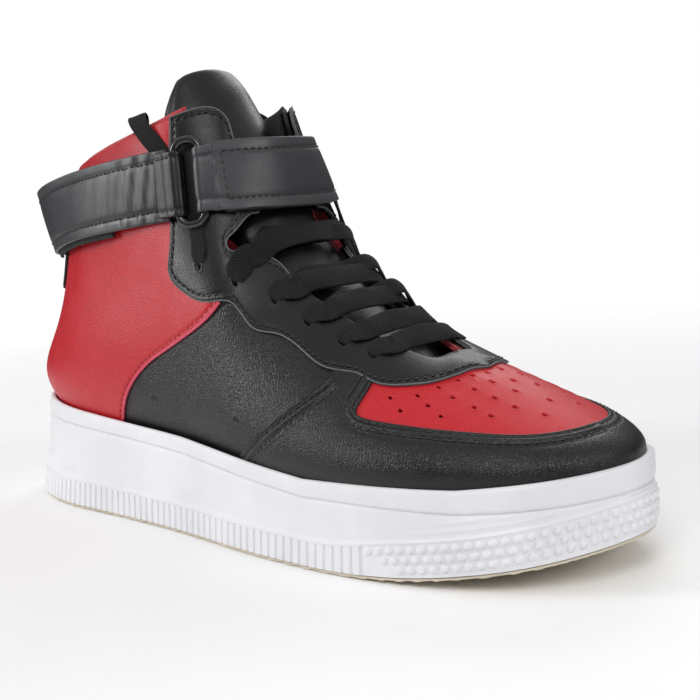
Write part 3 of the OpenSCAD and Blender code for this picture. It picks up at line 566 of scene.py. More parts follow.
# rows of stitching, medial then lateral
eye_s1 = inner_row(eye_r, 1.9); eye_s1l = flip_side(eye_s1)
flap_s1 = inner_row(flap_r, -2.0); flap_s1l = flip_side(flap_s1)
heel_s1 = inner_row(heel_r, 1.7)
wrap_s1 = inner_row(wrap_r, -1.6); wrap_s2 = inner_row(wrap_r, -4.4)
box_s1 = inner_row(box_r, -1.7); box_s2 = inner_row(box_r, -4.6)

DU, DV = ((.1, .031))

# quarters lie lowest, then toe box, heel panels, toe wrap, eyestay
def quarter(sd):
    P = np.array([(3.5, .02), (6.9, .02), (7.35, .185), (8.15, .365), (8.9, .54), (9.1, .62), (9.15, .675), (8.62, .68), (8.15, .70), (7.7, .70), (7.15, .65), (6.43, .655),
                  (5.95, .64), (5.7, .56), (5.55, .50), (5.25, .44), (4.85, .39), (4.35, .345), (4.0, .28), (3.75, .2), (3.55, .1)])
    P = resample(np.vstack([P, P[:1]]), .02); P = join(resample(P, 1.6, S(P[:, 0], P[:, 1])))
    if sd > 0:
        P = flip_side(P)
    hs = [hole(c if sd < 0 else (26-c[0], c[1]), 1.0) for c in VENTS]
    n = "quarter_medial" if sd < 0 else "quarter_lateral"
    return panel(n, P, 0.0, 1.1, [BLACK, CUT], n, holes=hs, du=DU, dv=DV, puff=.0, hole_rim=.12)

def heel_panel(sd):
    top = run([(4.75, 1.0), (4.0, 1.0), (3.0, 1.0), (2.0, 1.0), (1.0, 1.0), (.04, 1.0)], k=1)
    P = join(run([(.04, .02), (1.2, .02), (2.4, .02), (3.66, .02)], k=1), heel_r,
             run([(6.12, .575), (6.15, .62), (5.9, .63), (5.55, .585), (5.25, .60), (5.1, .64), (5.05, .72), (4.98, .80), (4.9, .88), (4.82, .95), (4.75, 1.0)], k=1), top,
             run([(.04, 1.0), (.04, .6), (.04, .02)], k=1))
    row = heel_s1
    if sd > 0:
        P = flip_side(P); row = flip_side(row)
    n = "heel_panel_medial" if sd < 0 else "heel_panel_lateral"
    return panel(n, P, .65, 1.3, [RED, PINK], n, du=DU, dv=DV, seams=[(row, .22, .55)], puff=.35, round_r=.5)

for sd in (-1, 1):
    quarter(sd); heel_panel(sd)
    for nm2, r2, d2 in (("eyestay", eye_r, .78), ("flap", flap_r[:-2], .85)):
        e2 = r2 if sd < 0 else flip_side(r2)
        tube("edge_"+nm2+("_medial" if sd < 0 else "_lateral"), off(e2[:, 0], e2[:, 1], np.full(len(e2), d2)), .36, CUT, N=nrm(e2[:, 0], e2[:, 1]))
    h = heel_r if sd < 0 else flip_side(heel_r)
    q = heel_s1 if sd < 0 else flip_side(heel_s1)
    nm = "medial" if sd < 0 else "lateral"
    tube("seam_piping_"+nm, off(h[:, 0], h[:, 1], np.full(len(h), .45)), .62, PINK, N=nrm(h[:, 0], h[:, 1]))

perf = [hole(c, .85, 10) for c in PERF]
P = [(9.15, .66), (9.05, .60), (8.95, .52), (8.95, .45), (9.2, .425), (9.9, .42), (10.95, .405), (11.8, .40), (13, .415)]
Q = [(9.15, .66), (9.5, .69), (9.8, .685), (10.1, .70), (10.5, .74), (10.8, .79), (11.15, .84), (11.7, .88), (12.3, .905), (13, .91)]
pr = run(P, k=1); qr = run(Q, k=1)
panel("toe_box", join(pr, flip_side(pr), flip_side(qr)[::-1], qr[::-1]), .05, 1.0, [RED_TOE, RED_TOE], "toe_box",
      holes=perf, du=DU, dv=DV, puff=0, hole_rim=.12)

low = run([(6.55, .02), (8, .02), (9.5, .02), (11, .02), (12, .02), (13, .02)], k=1)
mid = run([(8.80, .60), (8.87, .64), (8.95, .665), (9.2, .69), (9.5, .69), (9.62, .68), (9.62, .66)], k=1)
half = join(low, flip_side(low))
wrap = join(half, flip_side(wrap_r)[::-1], flip_side(mid)[::-1], flip_side(box_r)[::-1], box_r[::-1], mid[::-1], wrap_r[::-1])
wseams = []
for r in (wrap_s1, wrap_s2, box_s1, box_s2):
    for q in (r, flip_side(r)):
        wseams.append((q, .3, .55))
for r in (wrap_r, box_r):
    for q in (r, flip_side(r)):
        sg = -1 if q is r else 1
        wseams.append((shift(q, 3.0*sg), -.42, .85)); wseams.append((shift(q, .7*sg), -.25, .6)); wseams.append((shift(q, 6.2*sg), .25, .8))
panel("toe_wrap", wrap, .85, 1.2, [BLACK, BLACK_SMOOTH], "toe_wrap", du=DU, dv=DV, seams=wseams, puff=.25, round_r=.55)

es = [(q, .25, .55) for r in (eye_s1, flap_s1) for q in (r, flip_side(r))]
ehole = [hole((c[0] if k == 0 else 26-c[0], c[1]), 1.75 if c[0] > 6 else 1.25, 14) for k in (0, 1) for c in EYELETS]
panel("eyestay", eyestay_outline, 1.15, 1.4, [BLACK_SMOOTH, CUT], "eyestay", holes=ehole, du=DU, dv=DV, seams=es, puff=.3, round_r=.4, hole_rim=.1)

for nm, r, d, slot in (("eyestay", eye_s1, 1.2, "eyestay"), ("flap", flap_s1, 1.2, "eyestay"), ("wrap_a", wrap_s1, .75, "toe_wrap"), ("wrap_b", wrap_s2, .8, "toe_wrap"),
                       ("box_a", box_s1, .75, "toe_wrap"), ("box_b", box_s2, .8, "toe_wrap")):
    seam_stitch("stitch_"+nm+"_medial", r, d, THREAD, slot)
    seam_stitch("stitch_"+nm+"_lateral", flip_side(r), d, THREAD, slot)
for sd in (-1, 1):
    q = heel_s1 if sd < 0 else flip_side(heel_s1)
    seam_stitch("stitch_heel_"+("medial" if sd < 0 else "lateral"), q, .62, material("thread_red"+str(sd), (.45, .02, .035), .5, leather((.35, .012, .02), (.5, .025, .04), 2600)), "heel_panel_"+("medial" if sd < 0 else "lateral"))

# heel: red strip over the back seam and the webbing tab under the strap
def strip_on(name, us, v0, v1, top, th, mats, node, nv=40, edge=.35, bulge=.2):
    us = np.asarray(us, float); n = len(us); vv = np.linspace(v0, v1, nv); L = []
    w = np.linspace(-1, 1, n)
    for v in vv:
        fade = min(1, (v-v0)/.012, (v1-v)/.012); fade = max(fade, 0)
        h = top-edge*(1-np.sqrt(np.clip(1-np.clip((abs(w)-.86)/.14, 0, 1)**2, 0, 1)))+bulge*(1-w*w)-edge*(1-fade)
        a = off(us, np.full(n, v), h); b = off(us, np.full(n, v), np.full(n, top-th))
        L.append(np.vstack([a, b[::-1]]))
    V, F = loft(L)
    return mesh(name, V, F, mats, "shoe", node, uv=grid_uv(nv, 2*n, .001, .01), flat_angle=40)

strip_on("heel_seam_strip", np.linspace(-.42, .42, 15), .03, .60, 1.5, 1.4, RED, "heel_seam_strip")
strip_on("heel_tab", np.linspace(-1.42, 1.42, 41), .578, .80, 2.2, 1.4, WEB, "heel_tab", nv=30)
for s in (-1, 1):
    v = np.linspace(.04, .57, 200); u = np.full(200, s*.33)
    stitches("stitch_heel_strip_"+("medial" if s > 0 else "lateral"), off(u, v, np.full(200, 1.52)), nrm(u, v), bpy.data.materials["thread_red-1"], "heel_seam_strip")

# --------------------------------------------------- linings and the collar
def collar_lining():
    us = np.linspace(-4.9, 4.9, 131); L = []
    path = np.array([(1.002, -.5), (1.012, -1.0), (1.020, -2.0), (1.020, -3.2), (1.012, -4.6), (.992, -5.8), (.96, -6.7), (.92, -7.2), (.87, -7.4), (.80, -7.3), (.72, -6.9), (.64, -6.1), (.58, -5.0), (.54, -4.0), (.50, -3.4)])
    back = np.array([(.50, -2.7), (.6, -2.9), (.75, -3.2), (.9, -3.2), (.98, -2.4), (.992, -1.3)])
    q = chaikin(path, 2)
    m = len(q)
    for u in us:
        e = np.clip((4.9-abs(u))/.9, 0, 1); e = e*e*(3-2*e)
        wob = .18*math.sin(u*5.1)+.12*math.sin(u*9.7+1)
        d = q[:, 1]*(.62+.38*e)+wob*np.sin(np.linspace(0, np.pi, m))
        v = 1+(q[:, 0]-1)
        a = off(np.full(m, u), v, d)
        b = off(np.full(len(back), u), back[:, 0], back[:, 1]*(.62+.38*e))
        L.append(np.vstack([a, b]))
    V, F = loft(L)
    ob = mesh("collar_lining", V, F, KNIT, "shoe", ["collar_lining", "collar_foam", "heel_counter", "foam_backing"])
    ob.data.materials.append(KNITB)
    for f in ob.data.polygons:
        if f.center[1] > 0 and f.center[0] > -.046:
            f.material_index = 1

collar_lining()

def inner_sheet(name, outline, d, th, mat, nodes):
    """Lining: a sheet behind the leather, its seen face to the inside."""
    return panel(name, outline, d+th, th, [mat, mat], nodes, du=.16, dv=.05, puff=0, round_r=.1, hole_rim=0)

hl = run([(-4.95, .02), (-3, .02), (-1, .02), (1, .02), (3, .02), (4.95, .02)], k=1, step=3)
ht = run([(4.95, .56), (3, .56), (1, .56), (-1, .56), (-3, .56), (-4.95, .56)], k=1, step=3)
side_r = run([(4.95, .02), (4.95, .56)], k=1, step=3); side_l = run([(-4.95, .56), (-4.95, .02)], k=1, step=3)
inner_sheet("heel_lining", join(hl, side_r, ht, side_l), -3.4, .7, KNIT, "heel_lining")
vin = [(4.9, .02)]+[(x, .02) for x in range(6, 13)]+[(13, .02)]
lowv = run(vin, k=1, step=3)
INFLAP = [(4.7, 1.0), (5.3, 1.0), (5.7, .998), (5.95, .99), (6.06, .965), (6.3, .955), (6.75, .96), (7.0, .962), (6.9, .93), (6.72, .895), (6.42, .835), (6.18, .785), (5.98, .75), (5.96, .71), (6.16, .698), (6.5, .738), (7.0, .805), (7.4, .86), (7.7, .892), (7.98, .905)]
thr_in = run([(7.98, .905), (8.6, .912), (9.3, .915), (9.9, .912), (10.4, .912), (10.9, .92), (11.5, .95), (12.2, .985), (13, .995)], step=2)
inf = run(INFLAP, step=1.6)
leftv = run([(4.7, 1.0), (4.8, .6), (4.9, .02)], k=1, step=3)
vl = join(lowv, flip_side(lowv), flip_side(leftv), flip_side(inf)[::-1], flip_side(thr_in)[::-1], thr_in[::-1], inf[::-1], leftv)
vamp = inner_sheet("vamp_lining", vl, -3.2, 1.6, KNIT, ["vamp_lining", "toe_puff"])
vamp.data.materials.append(BLACK_SMOOTH)
for f in vamp.data.polygons:
    x, y, z = f.center
    if (y > 0 and z > .118) or (y < 0 and x > -.006 and z > .088) or (y > 0 and .006 < x < .062 and z > .06):
        f.material_index = 2

# ------------------------------------------------------------------- tongue
TONGUE = np.array([[74,62,11,1.5],[60,70.5,16,4],[46,79.2,18,6],[31.6,89,19,8.5],[17.6,100.5,19,9.5],[6,114,20,13],[-3.6,128,22,18],
                   [-10,142,23,21],[-19,156,24,23],[-27,168,21,17],[-33,176.5,15,8]], float)
TONGUE[:6, 1] -= [2.6, 2.6, 2.6, 2.2, 1.2, .3]; TONGUE[1:6, 2] += [2.2, 3.0, 3.0, 2.4, 1.2]; TONGUE[1:6, 3] -= [1.0, 1.6, 2.6, 2.2, 1.5]

def crw(t):
    return np.array([(-t+2*t*t-t**3)/2, (2-5*t*t+3*t**3)/2, (t+4*t*t-3*t**3)/2, (t**3-t*t)/2])

def along(P, s):
    n = len(P)-1; i = int(min(n-1, max(0, math.floor(s)))); a = crw(s-i)
    p0 = P[i-1] if i > 0 else 2*P[0]-P[1]; p3 = P[i+2] if i+2 <= n else 2*P[n]-P[n-1]
    return a[0]*p0+a[1]*P[i]+a[2]*P[i+1]+a[3]*p3

def tongue_point(s, q, d, wide=1.0):
    c = along(TONGUE, s); e = along(TONGUE, s+.05)-along(TONGUE, s-.05); t = unit([e[0], 0, e[1]]); n = np.array([t[2], 0, -t[0]])
    a = np.radians(90*q); w, h = c[2]*wide, c[3]
    nn = unit(n*math.cos(a)*w+np.array([0, 1, 0])*math.sin(a)*h*.999)
    return np.array([c[0], 0, c[1]])-n*h*(1-math.cos(a))+np.array([0, w*math.sin(a), 0])+nn*d

def tongue():
    ss = np.concatenate([np.linspace(0, 9.0, 84), np.linspace(9.05, 10, 14)])
    qs = np.sin(np.linspace(-1, 1, 47)*np.pi/2*.98)
    front, back, lin = [], [], []
    for s in ss:
        top = np.clip((10-s)/.55, 0, 1); top = math.sqrt(max(0, 1-(1-top)**2))
        w0 = np.clip(s/.6, .55, 1)
        r1, r2, r3 = [], [], []
        for q in qs:
            e = math.sqrt(max(0, 1-min(1, abs(q)/1.0)**6))
            quilt = .35*math.exp(-((abs(q)-.80)/.05)**2)
            pad = (.9+1.1*e)*(.35+.65*top) if s > 5.2 else (.5+.7*e)
            soft = .25*math.sin(s*2.3+q*2)+.18*math.sin(s*5.1-q*3.1)
            front_d = (pad-quilt+soft*.6*e)*min(1, e+.25)-.6
            th = (5.4 if s > 5.2 else 3.4+2.0*np.clip((s-4.2)/1.0, 0, 1))*(.35+.65*e)*(.25+.75*top)
            r1.append(tongue_point(s, q*w0, front_d))
            r2.append(tongue_point(s, q*w0, front_d-th*.72))
            r3.append(tongue_point(s, q*w0, front_d-th))
        front.append(r1); back.append(r2); lin.append(r3)
    L = [np.vstack([a, np.array(b)[::-1]]) for a, b in zip(front, back)]
    V, F = loft(L)
    ob = mesh("tongue", V, F, BLACK_SMOOTH, None, ["tongue_lower", "tongue_upper", "tongue_foam", "tongue_lower_pad"])
    L = [np.vstack([np.array(a)[2:-2], np.array(b)[2:-2][::-1]]) for a, b in zip(back[2:-4], lin[2:-4])]
    L = [np.vstack([l[:len(l)//2]*1.0, l[len(l)//2:]]) for l in L]
    V, F = loft(L)
    ob2 = mesh("tongue_lining", V, F, KNIT, None, "tongue_lining")
    for o in (ob, ob2):
        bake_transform(o)
tongue()

# -------------------------------------------------------------------- strap
BELT = np.array([[-18,-36.6,132.3,0.1,0.2],[-32,-38.3,131.3,0.05,0.15],[-56,-39.5,129,0,0.1],[-82,-38,126,0,0.05],
  [-106,-32.5,122,-0.15,0],[-126,-20,118.5,-0.22,0],[-134.5,0,117,-0.22,0],[-126,20,118.5,-0.22,0],
  [-106,33,122,-0.15,0],[-82,38.5,126,0,0],[-56,39,129.5,0,0],[-34,37.8,132,0.1,0],[-19.6,34.4,133.5,0.2,0],
  [-9.6,30.2,134,0.28,0],[-2.8,24.4,134,0.34,0],[1,17.5,134,0.28,0],[3.2,8,134,0.25,0],[3.8,0,134,0.25,0],
  [3.2,-8,134,0.25,0],[0.9,-16.6,134,0.3,0.05],[-2.9,-24.8,133.7,0.32,0.12],[-8.2,-32.3,133.3,0.24,0.2]], float)
BN = 21

def bframe(s):
    p = along(BELT, s); t = unit((along(BELT, s+.05)-along(BELT, s-.05))[:3]); o = -unit(np.cross(t, [0, 0, 1]))
    w0 = unit(np.array([0, 0, 1])-o*p[3]+t*p[4]); n = -unit(np.cross(t, w0)); w = np.cross(t, n)
    return p[:3], t, n, (-w if w[2] < 0 else w)

F0, F1 = bframe(0), bframe(BN)
LC = (F0[0]+F1[0])/2; LT = unit(F1[0]-F0[0]); LW = F0[3]+F1[3]; LW = unit(LW-LT*(LW@LT)); LN = np.cross(LT, LW)
LB = np.linalg.norm(F1[0]-F0[0])/2; LR = 4.6; WIRE = 1.65

def band(name, frames, h, d0, d1, mats, node, ride="shoe", border=4.2, puff=.3, smooth_h=None, edge=.45, groove=.3, crease=None):
    """A strap: frames are (centre, along, outward, up); its face carries a border outside a stitched groove."""
    W = np.unique(np.concatenate([np.linspace(-1, 1, 25), [1-border/h, -1+border/h], [.995, .985, .97, -.995, -.985, -.97]]))
    L = []; n = len(frames)
    for i, (p, t, o, w) in enumerate(frames):
        hh = h if smooth_h is None else smooth_h[i]
        end = min(1, min(i, n-1-i)/1.5+.35)
        a = []
        for x in W:
            y = abs(x)*hh
            e = hh-y
            z = d1-edge*(1-math.sqrt(max(0, 1-max(0, 1-e/edge)**2)))*1.0
            z -= groove*math.exp(-((e-border)/.55)**2)
            z += puff*max(0, 1-math.exp(-max(0, e-border)/2.5))*end
            if crease is not None:
                z += crease(i/(n-1), x)
            a.append(p+o*z+w*x*hh)
        b = [p+o*(d0+.12*(1-abs(x)))+w*x*hh for x in np.linspace(1, -1, 9)]
        L.append(np.vstack([a, b]))
    V, F = loft(L)
    m = len(L[0]); fm = []
    for f in F:
        if len(f) == 4:
            k = min(i % m for i in f); ks = sorted(i % m for i in f)
            c = ks[1] if ks[-1]-ks[0] < m-1 else 0
            e = 1-abs(W[min(c, len(W)-1)])
            fm.append(1 if (c >= len(W)-1 or e*h < border-.1) else 0)
        else:
            fm.append(1)
    return mesh(name, V, F, mats, ride, node, face_mat=fm)

def row_on(frames, h, d, s0=0, s1=None):
    X = np.array([p+o*d+w*h for p, t, o, w in frames]); N = np.array([o for p, t, o, w in frames]); return X, N

def move(f, d):
    return (f[0]+f[2]*d, f[1], f[2], f[3])

HW = 13.5
step = .08
belt = [bframe(s) for s in np.arange(.32, 20.3, step)]
def belt_crease(t, x):
    s = t*20
    return .28*math.exp(-((s-1.1)/.7)**2)*(math.sin(s*17+x*3.1)+.5*math.sin(s*31-x*4))+.12*math.sin(s*1.9)*math.cos(x*1.7)
band("strap_belt", belt, HW, -.75, .75, [STRAP_B, STRAP_EDGE_PAINTED_HIGHLIGHT_B], "strap_belt", crease=belt_crease)
seen = [bframe(s) for s in np.arange(.75, 11.9, .05)]
for sg in (1, -1):
    X, N = row_on(seen, sg*(HW-4.2), .75)
    stitches("stitch_belt_"+("top" if sg > 0 else "bottom"), X, N, THREAD, "strap_belt", pitch=2.7, length=2.0, r=.28)
back = [(p-w*2.5, t, o, w) for p, t, o, w in [bframe(s) for s in np.arange(2.1, 5.01, .1)]]
band("belt_backing", back, HW-.4, -2.1, -.9, [TAPE, TAPE], "belt_backing", puff=.1, groove=.15)

def path_frames(F, C, smooth=2):
    """Frames for leather that runs along the line C of (along, out) from the bar of frame F."""
    C = chaikin(C, smooth); C = resample(C, .45); D = unit(np.gradient(C, axis=0)); out = []
    for c, e in zip(C, D):
        t = F[1]*e[0]+F[2]*e[1]; o = F[1]*(-e[1])+F[2]*e[0]
        out.append((F[0]+F[1]*c[0]+F[2]*c[1], t, o, LW))
    return out

rb = WIRE+.75
arc = [(math.cos(math.radians(a))*rb, math.sin(math.radians(a))*rb) for a in range(90, 271, 15)]
rear = path_frames(F0, [(9.2, 1.32), (7.0, 1.36), (4.8, 1.7), (2.6, 2.3)]+arc+[(2.5, -2.2), (4.5, -1.9)])
# outward side of the fold is the one away from the bar
def outward(frames, c):
    res = []
    for p, t, o, w in frames:
        if (p-c-(p-c)@LW*LW)@o < 0:
            o = -o
        res.append((p, t, o, w))
    return res
rear = outward(rear, F0[0])
band("belt_end_fold", rear, HW-1.3, -.5, .5, [BLACK_SMOOTH, BLACK_SMOOTH], "belt_end_fold", border=2.4, puff=.1, groove=.2, edge=.35)
for sg in (1, -1):
    X, N = row_on(rear[2:26], sg*(HW-1.3-2.4), .5)
    stitches("stitch_fold_"+("top" if sg > 0 else "bottom"), X, N, THREAD, "belt_end_fold", pitch=2.2, length=1.7, r=.28)

arc = [(math.cos(math.radians(a))*rb, math.sin(math.radians(a))*rb) for a in range(-90, 91, 15)]
front = path_frames(F1, [(-4.5, -1.6), (-2.5, -2.2)]+arc+[(-2.2, 2.5), (-4.2, 2.62)])
front = outward(front, F1[0])
tail = [move(bframe(s), 2.6) for s in np.arange(20.45, 11.74, -(.06))]
tail = [(p, -t, o, w) for p, t, o, w in tail]
n0 = len(front); flapf = front+tail
cum = np.concatenate([[0], np.cumsum([np.linalg.norm(flapf[i+1][0]-flapf[i][0]) for i in range(len(flapf)-1)])])
wid = np.interp(cum, [0, cum[n0-1]-2, cum[n0-1]+4, cum[-1]], [HW-1.6, HW-1.3, HW, HW])
fl = band("strap_flap", flapf, HW, -.75, .75, [STRAP, STRAP_EDGE_PAINTED_HIGHLIGHT], ["strap_flap", "front_fold"], ride=None, smooth_h=wid, puff=.3,
     crease=lambda t, x: .10*math.sin(t*40+x)*math.exp(-((t-.12)/.06)**2))
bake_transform(fl)
# stitched rectangle on the flap: two long rows joined by one across, near the loop
q0 = n0+int(7/ (.4)); 
A = [i for i in range(len(flapf)) if cum[i] > cum[n0-1]+3.2 and cum[i] < cum[-1]-3]
rows = []
for sg in (1, -1):
    rows.append(row_on([flapf[i] for i in A], sg*(HW-4.2), .75))
f = flapf[A[0]]; rows.append((np.array([f[0]+f[2]*1.0+f[3]*y for y in np.linspace(-(HW-4.2), HW-4.2, 30)]), np.tile(f[2], (30, 1))))
f = flapf[A[-1]]; rows.append((np.array([f[0]+f[2]*1.0+f[3]*y for y in np.linspace(-(HW-4.2), HW-4.2, 30)]), np.tile(f[2], (30, 1))))
for k, (X, N) in enumerate(rows):
    st = stitches("stitch_flap_%d" % k, X, N, THREAD, "strap_flap", ride=None, pitch=2.7, length=2.0, r=.28)
    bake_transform(st)

def tape(name, s0, s1, d0, d1, node, ride, hooks):
    fr = [bframe(s) for s in np.arange(s0, s1+.01, .06)]; W = np.linspace(-1, 1, 45); L = []; h = HW-3.1
    for i, (p, t, o, w) in enumerate(fr):
        up = [p+o*(d1+(.16 if (i+j) % 2 else 0)*(0 if j in (0, 44) else 1))+w*x*h if not hooks else p+o*d1+w*x*h for j, x in enumerate(W)]
        dn = [p+o*(d0-(.16 if (i+j) % 2 else 0)*(1 if hooks else 0))+w*x*h for j, x in enumerate(W)]
        L.append(np.vstack([up, dn[::-1]]))
    V, F = loft(L)
    return mesh(name, V, F, TAPE, ride, node)
tape("loop_patch", 12.25, 16.25, .8, 1.3, "loop_patch", "shoe", False)
tape("hook_patch", 12.25, 15.25, 1.45, 1.8, "hook_patch", "flap", True)

def loop2(a):
    return (LB-LR)*np.sign(np.cos(a))+LR*np.cos(a), (17.5-WIRE-LR)*np.sign(np.sin(a))+LR*np.sin(a)
a = np.radians(np.arange(2.5, 360, 5)); L = []
for x in a:
    c = loop2(x); e = np.array([math.cos(x), math.sin(x)]); ring = []
    for b in np.arange(16)*2*np.pi/16:
        ring.append(LC+LT*(c[0]+e[0]*WIRE*math.cos(b))+LW*(c[1]+e[1]*WIRE*math.cos(b))+LN*WIRE*math.sin(b))
    L.append(ring)
V, F = loft(L, shut=True)
mesh("strap_loop", V, F, METAL, "loop", "strap_loop")

# -------------------------------------------------------------------- laces
def spline(P, n=12):
    P = np.asarray(P, float); Q = [2*P[0]-P[1]]+list(P)+[2*P[-1]-P[-2]]; out = []
    for i in range(1, len(Q)-2):
        for t in np.linspace(0, 1, n, endpoint=False):
            a = crw(t); out.append(a[0]*Q[i-1]+a[1]*Q[i]+a[2]*Q[i+1]+a[3]*Q[i+2])
    out.append(Q[-2]); return np.array(out)

def lace(name, P, D, w=8.0, t=1.25, taper0=True, taper1=False, node=None, twist=0):
    """A flat woven lace through points P, its face turned to D."""
    X = spline(P); G = unit(spline(D)); T = unit(np.gradient(X, axis=0))
    cum = np.concatenate([[0], np.cumsum(np.linalg.norm(np.diff(X, axis=0), axis=1))]); n = len(X)
    X = np.stack([np.interp(np.linspace(0, cum[-1], int(cum[-1]/.6)+2), cum, X[:, k]) for k in range(3)], 1)
    G = unit(np.stack([np.interp(np.linspace(0, cum[-1], len(X)), cum, G[:, k]) for k in range(3)], 1))
    T = unit(np.gradient(X, axis=0)); cum = np.linspace(0, cum[-1], len(X)); L = []; uv = []
    th = np.arange(18)*2*np.pi/18
    for i, (x, g, e) in enumerate(zip(X, G, T)):
        b = unit(np.cross(g, e)); c = unit(np.cross(e, b))
        k = 1.0
        if taper0:
            k = min(k, .42+.58*min(1, cum[i]/7.0)**.8)
        if taper1:
            k = min(k, .42+.58*min(1, (cum[-1]-cum[i])/7.0)**.8)
        ww = w/2*k; tt = t/2*(1+.9*(1-k))
        cup = .35*math.sin(cum[i]*.33+len(name))*k
        ring = []
        for a in th:
            ca, sa = math.cos(a), math.sin(a)
            px = ww*np.sign(ca)*abs(ca)**.75; pz = tt*np.sign(sa)*abs(sa)**.55
            ring.append(x+b*px+c*(pz+cup*(px/ww)**2*.8)); uv.append((cum[i]/1000, px/1000))
        L.append(ring)
    V, F = loft(L)
    return mesh(name, V, F, LACE, "shoe", node, uv=np.array(uv))

UP = unit([.74, -.10, .66]); LIFT = np.array([.62, 0, .78])
def sp(u, v, d):
    return off(np.array([float(u)]), np.array([float(v)]), np.array([float(d)]))[0]
def sn(u, v):
    return nrm(np.array([float(u)]), np.array([float(v)]))[0]
def sides(m, sd):
    return m if sd < 0 else 26-m

E = EYELETS
def over(k, skew, lift, w=8.4):
    """From the inner side's eyelet over the throat, down under the outer edge."""
    m, v = E[k]
    m2 = m+skew
    h = (.93-v)
    A = [sp(m-.01, v-.004, -1.6), sp(m+.02, v+.008, 1.2), sp(m+.10+h*.4, v+h*.30, 1.8), sp(m+.22+h*1.6, v+h*.60, 1.9+lift*.2), sp(m+.34+h*2.5, v+h, 1.8+lift*.4)]
    An = [sn(m, v)]*2+[unit(sn(m+.1, .80)+UP*.2), unit(sn(m+.16, .88)+UP*.5), unit(sn(m+.16, .93)+UP*1.1)]
    B = [sp(26-m2-.30-h*2.2, v+h, 2.0+lift*.4), sp(26-m2-.20-h*1.3, v+h*.62, 2.1), sp(26-m2-.10-h*.4, v+h*.30, 1.8), sp(26-m2-.02, v+.012, 1.1), sp(26-m2+.01, v-.004, -1.4)]
    Bn = [unit(sn(26-m2, .93)+UP*1.1), unit(sn(26-m2, .88)+UP*.5), unit(sn(26-m2, .8)+UP*.2)]+[sn(26-m2, .8)]*2
    c = (A[-1]+B[0])/2+LIFT*(.3+lift*.7)
    dy = np.array([0, 6.0, 0])
    lace("lace_over_%d" % (k+1), A+[c-dy-UP*.3, c+dy-UP*.3]+B, An+[UP, UP]+Bn, w=w, taper1=True, node="lace" if k == 0 else None)

def under(k, w=8.0):
    """From the outer side's eyelet up over that edge, then below the other crossing to the inner edge."""
    m, v = E[k]
    a = 26-(m-.30)
    A = [sp(a+.03, v-.02, -1.2), sp(a-.02, v+.03, 1.5), sp(a-.14, .875, 4.6), sp(a-.30, .95, 4.6)]
    An = [sn(a, v)]*2+[unit(sn(a, .88)+UP*.3), unit(sn(a, .95)+UP*.9)]
    b = (m+E[min(k+1, 5)][0])/2+.42 if k < 4 else 6.75
    B = [sp(b, .97, -.2), sp(b, .93, -3.2)]
    Bn = [unit(sn(b, .93)+UP*1.5)]*2
    c = (A[-1]*.45+B[0]*.55)-LIFT*1.2
    dy = np.array([0, 5.5, 0])
    lace("lace_under_%d" % (k+1), A+[c+dy, c-dy]+B, An+[UP, UP]+Bn, w=w)

over(0, .10, .8, 8.6); over(1, .04, .9, 8.8); over(2, .10, 1.2, 9.0); over(3, .20, 1.4, 9.2); over(4, .05, 2.4, 9.6)
for k in (1, 2, 3, 4):
    under(k)

# the two ends: from the last eyelets up behind the strap, then over the collar and inside
for sd in (-1, 1):
    nm = "medial" if sd < 0 else "lateral"
    g = lambda m, v, d: sp(sides(m, sd), v, d)
    gn = lambda m, v: sn(sides(m, sd), v)
    lo = [(5.55, .63, -1.6), (5.55, .645, 1.05), (5.50, .68, 1.25), (5.42, .72, 1.2), (5.34, .755, 1.0)]
    lace("lace_end_low_"+nm, [g(*q) for q in lo], [gn(q[0], q[1]) for q in lo], w=6.6, node="lace_ends" if sd < 0 else None)
    hi = [(4.78, .855, .9), (4.54, .90, 1.1), (4.30, .942, 1.3), (4.08, .98, 1.6), (3.92, 1.01, 1.9), (3.78, 1.036, 1.6), (3.66, 1.052, .2), (3.54, 1.056, -2.0), (3.42, 1.044, -4.5), (3.30, 1.01, -6.9), (3.18, .965, -8.3), (3.08, .92, -8.7), (3.0, .88, -8.8)]
    D = []
    for q in hi:
        nn = gn(q[0], min(q[1], 1)); z = np.array([0, 0, 1.])
        up = unit(tangents(float(sides(q[0], sd)), 1.0)[1]); up = up*(1 if up[2] > 0 else -1)
        D.append(unit(nn*(q[2]+3.2)+up*(q[1]-1)*75) if q[1] > 1 else (nn if q[2] > -3 else -nn))
    lace("lace_end_high_"+nm, [g(*q) for q in hi], D, w=8.0, taper0=False)
    tp = [(3.01, .885, -8.8), (2.95, .86, -8.8), (2.86, .82, -8.8), (2.78, .79, -8.8)]
    X = np.array([g(*q) for q in tp]); tube("aglet_"+nm, spline(X, 6), [1.25]*18+[1.0], material("aglet_film_"+nm, (.03, .03, .032), .25, leather((.02, .02, .022), (.035, .035, .038), 2000, .1, .00003, (.2, .3))),
        n=12, N=np.tile(gn(3.4, .83), (19, 1)), node="aglets" if sd < 0 else None)

# --------------------------------------------------------------------- sole
RW = np.array([2.6,3.5,3,2.8,2.8,2.8,2.8,2.8,2.8,2.8,3,3.6,4.2,4.3,4.6,4.2,3.4,3.2,3.4,3,2.8,2.8,2.8,2.8,3,3.8])
RZ = np.array([[-150,43.7],[-90,40.4],[-20,36.6],[50,30],[110,31.9],[150,36.7]]); FL = np.array([[-150,6.7],[-110,5.4],[-60,2.5],[60,2.4],[110,0],[150,0]])
GR = np.array([[-150,7.5],[-60,6],[60,6],[100,7],[150,8.5]]); HB = np.array([[-150,9.5],[-90,12],[0,11],[60,10.5],[90,13],[150,14]])

def tab(T, x):
    return np.interp(x, T[:, 0], T[:, 1])

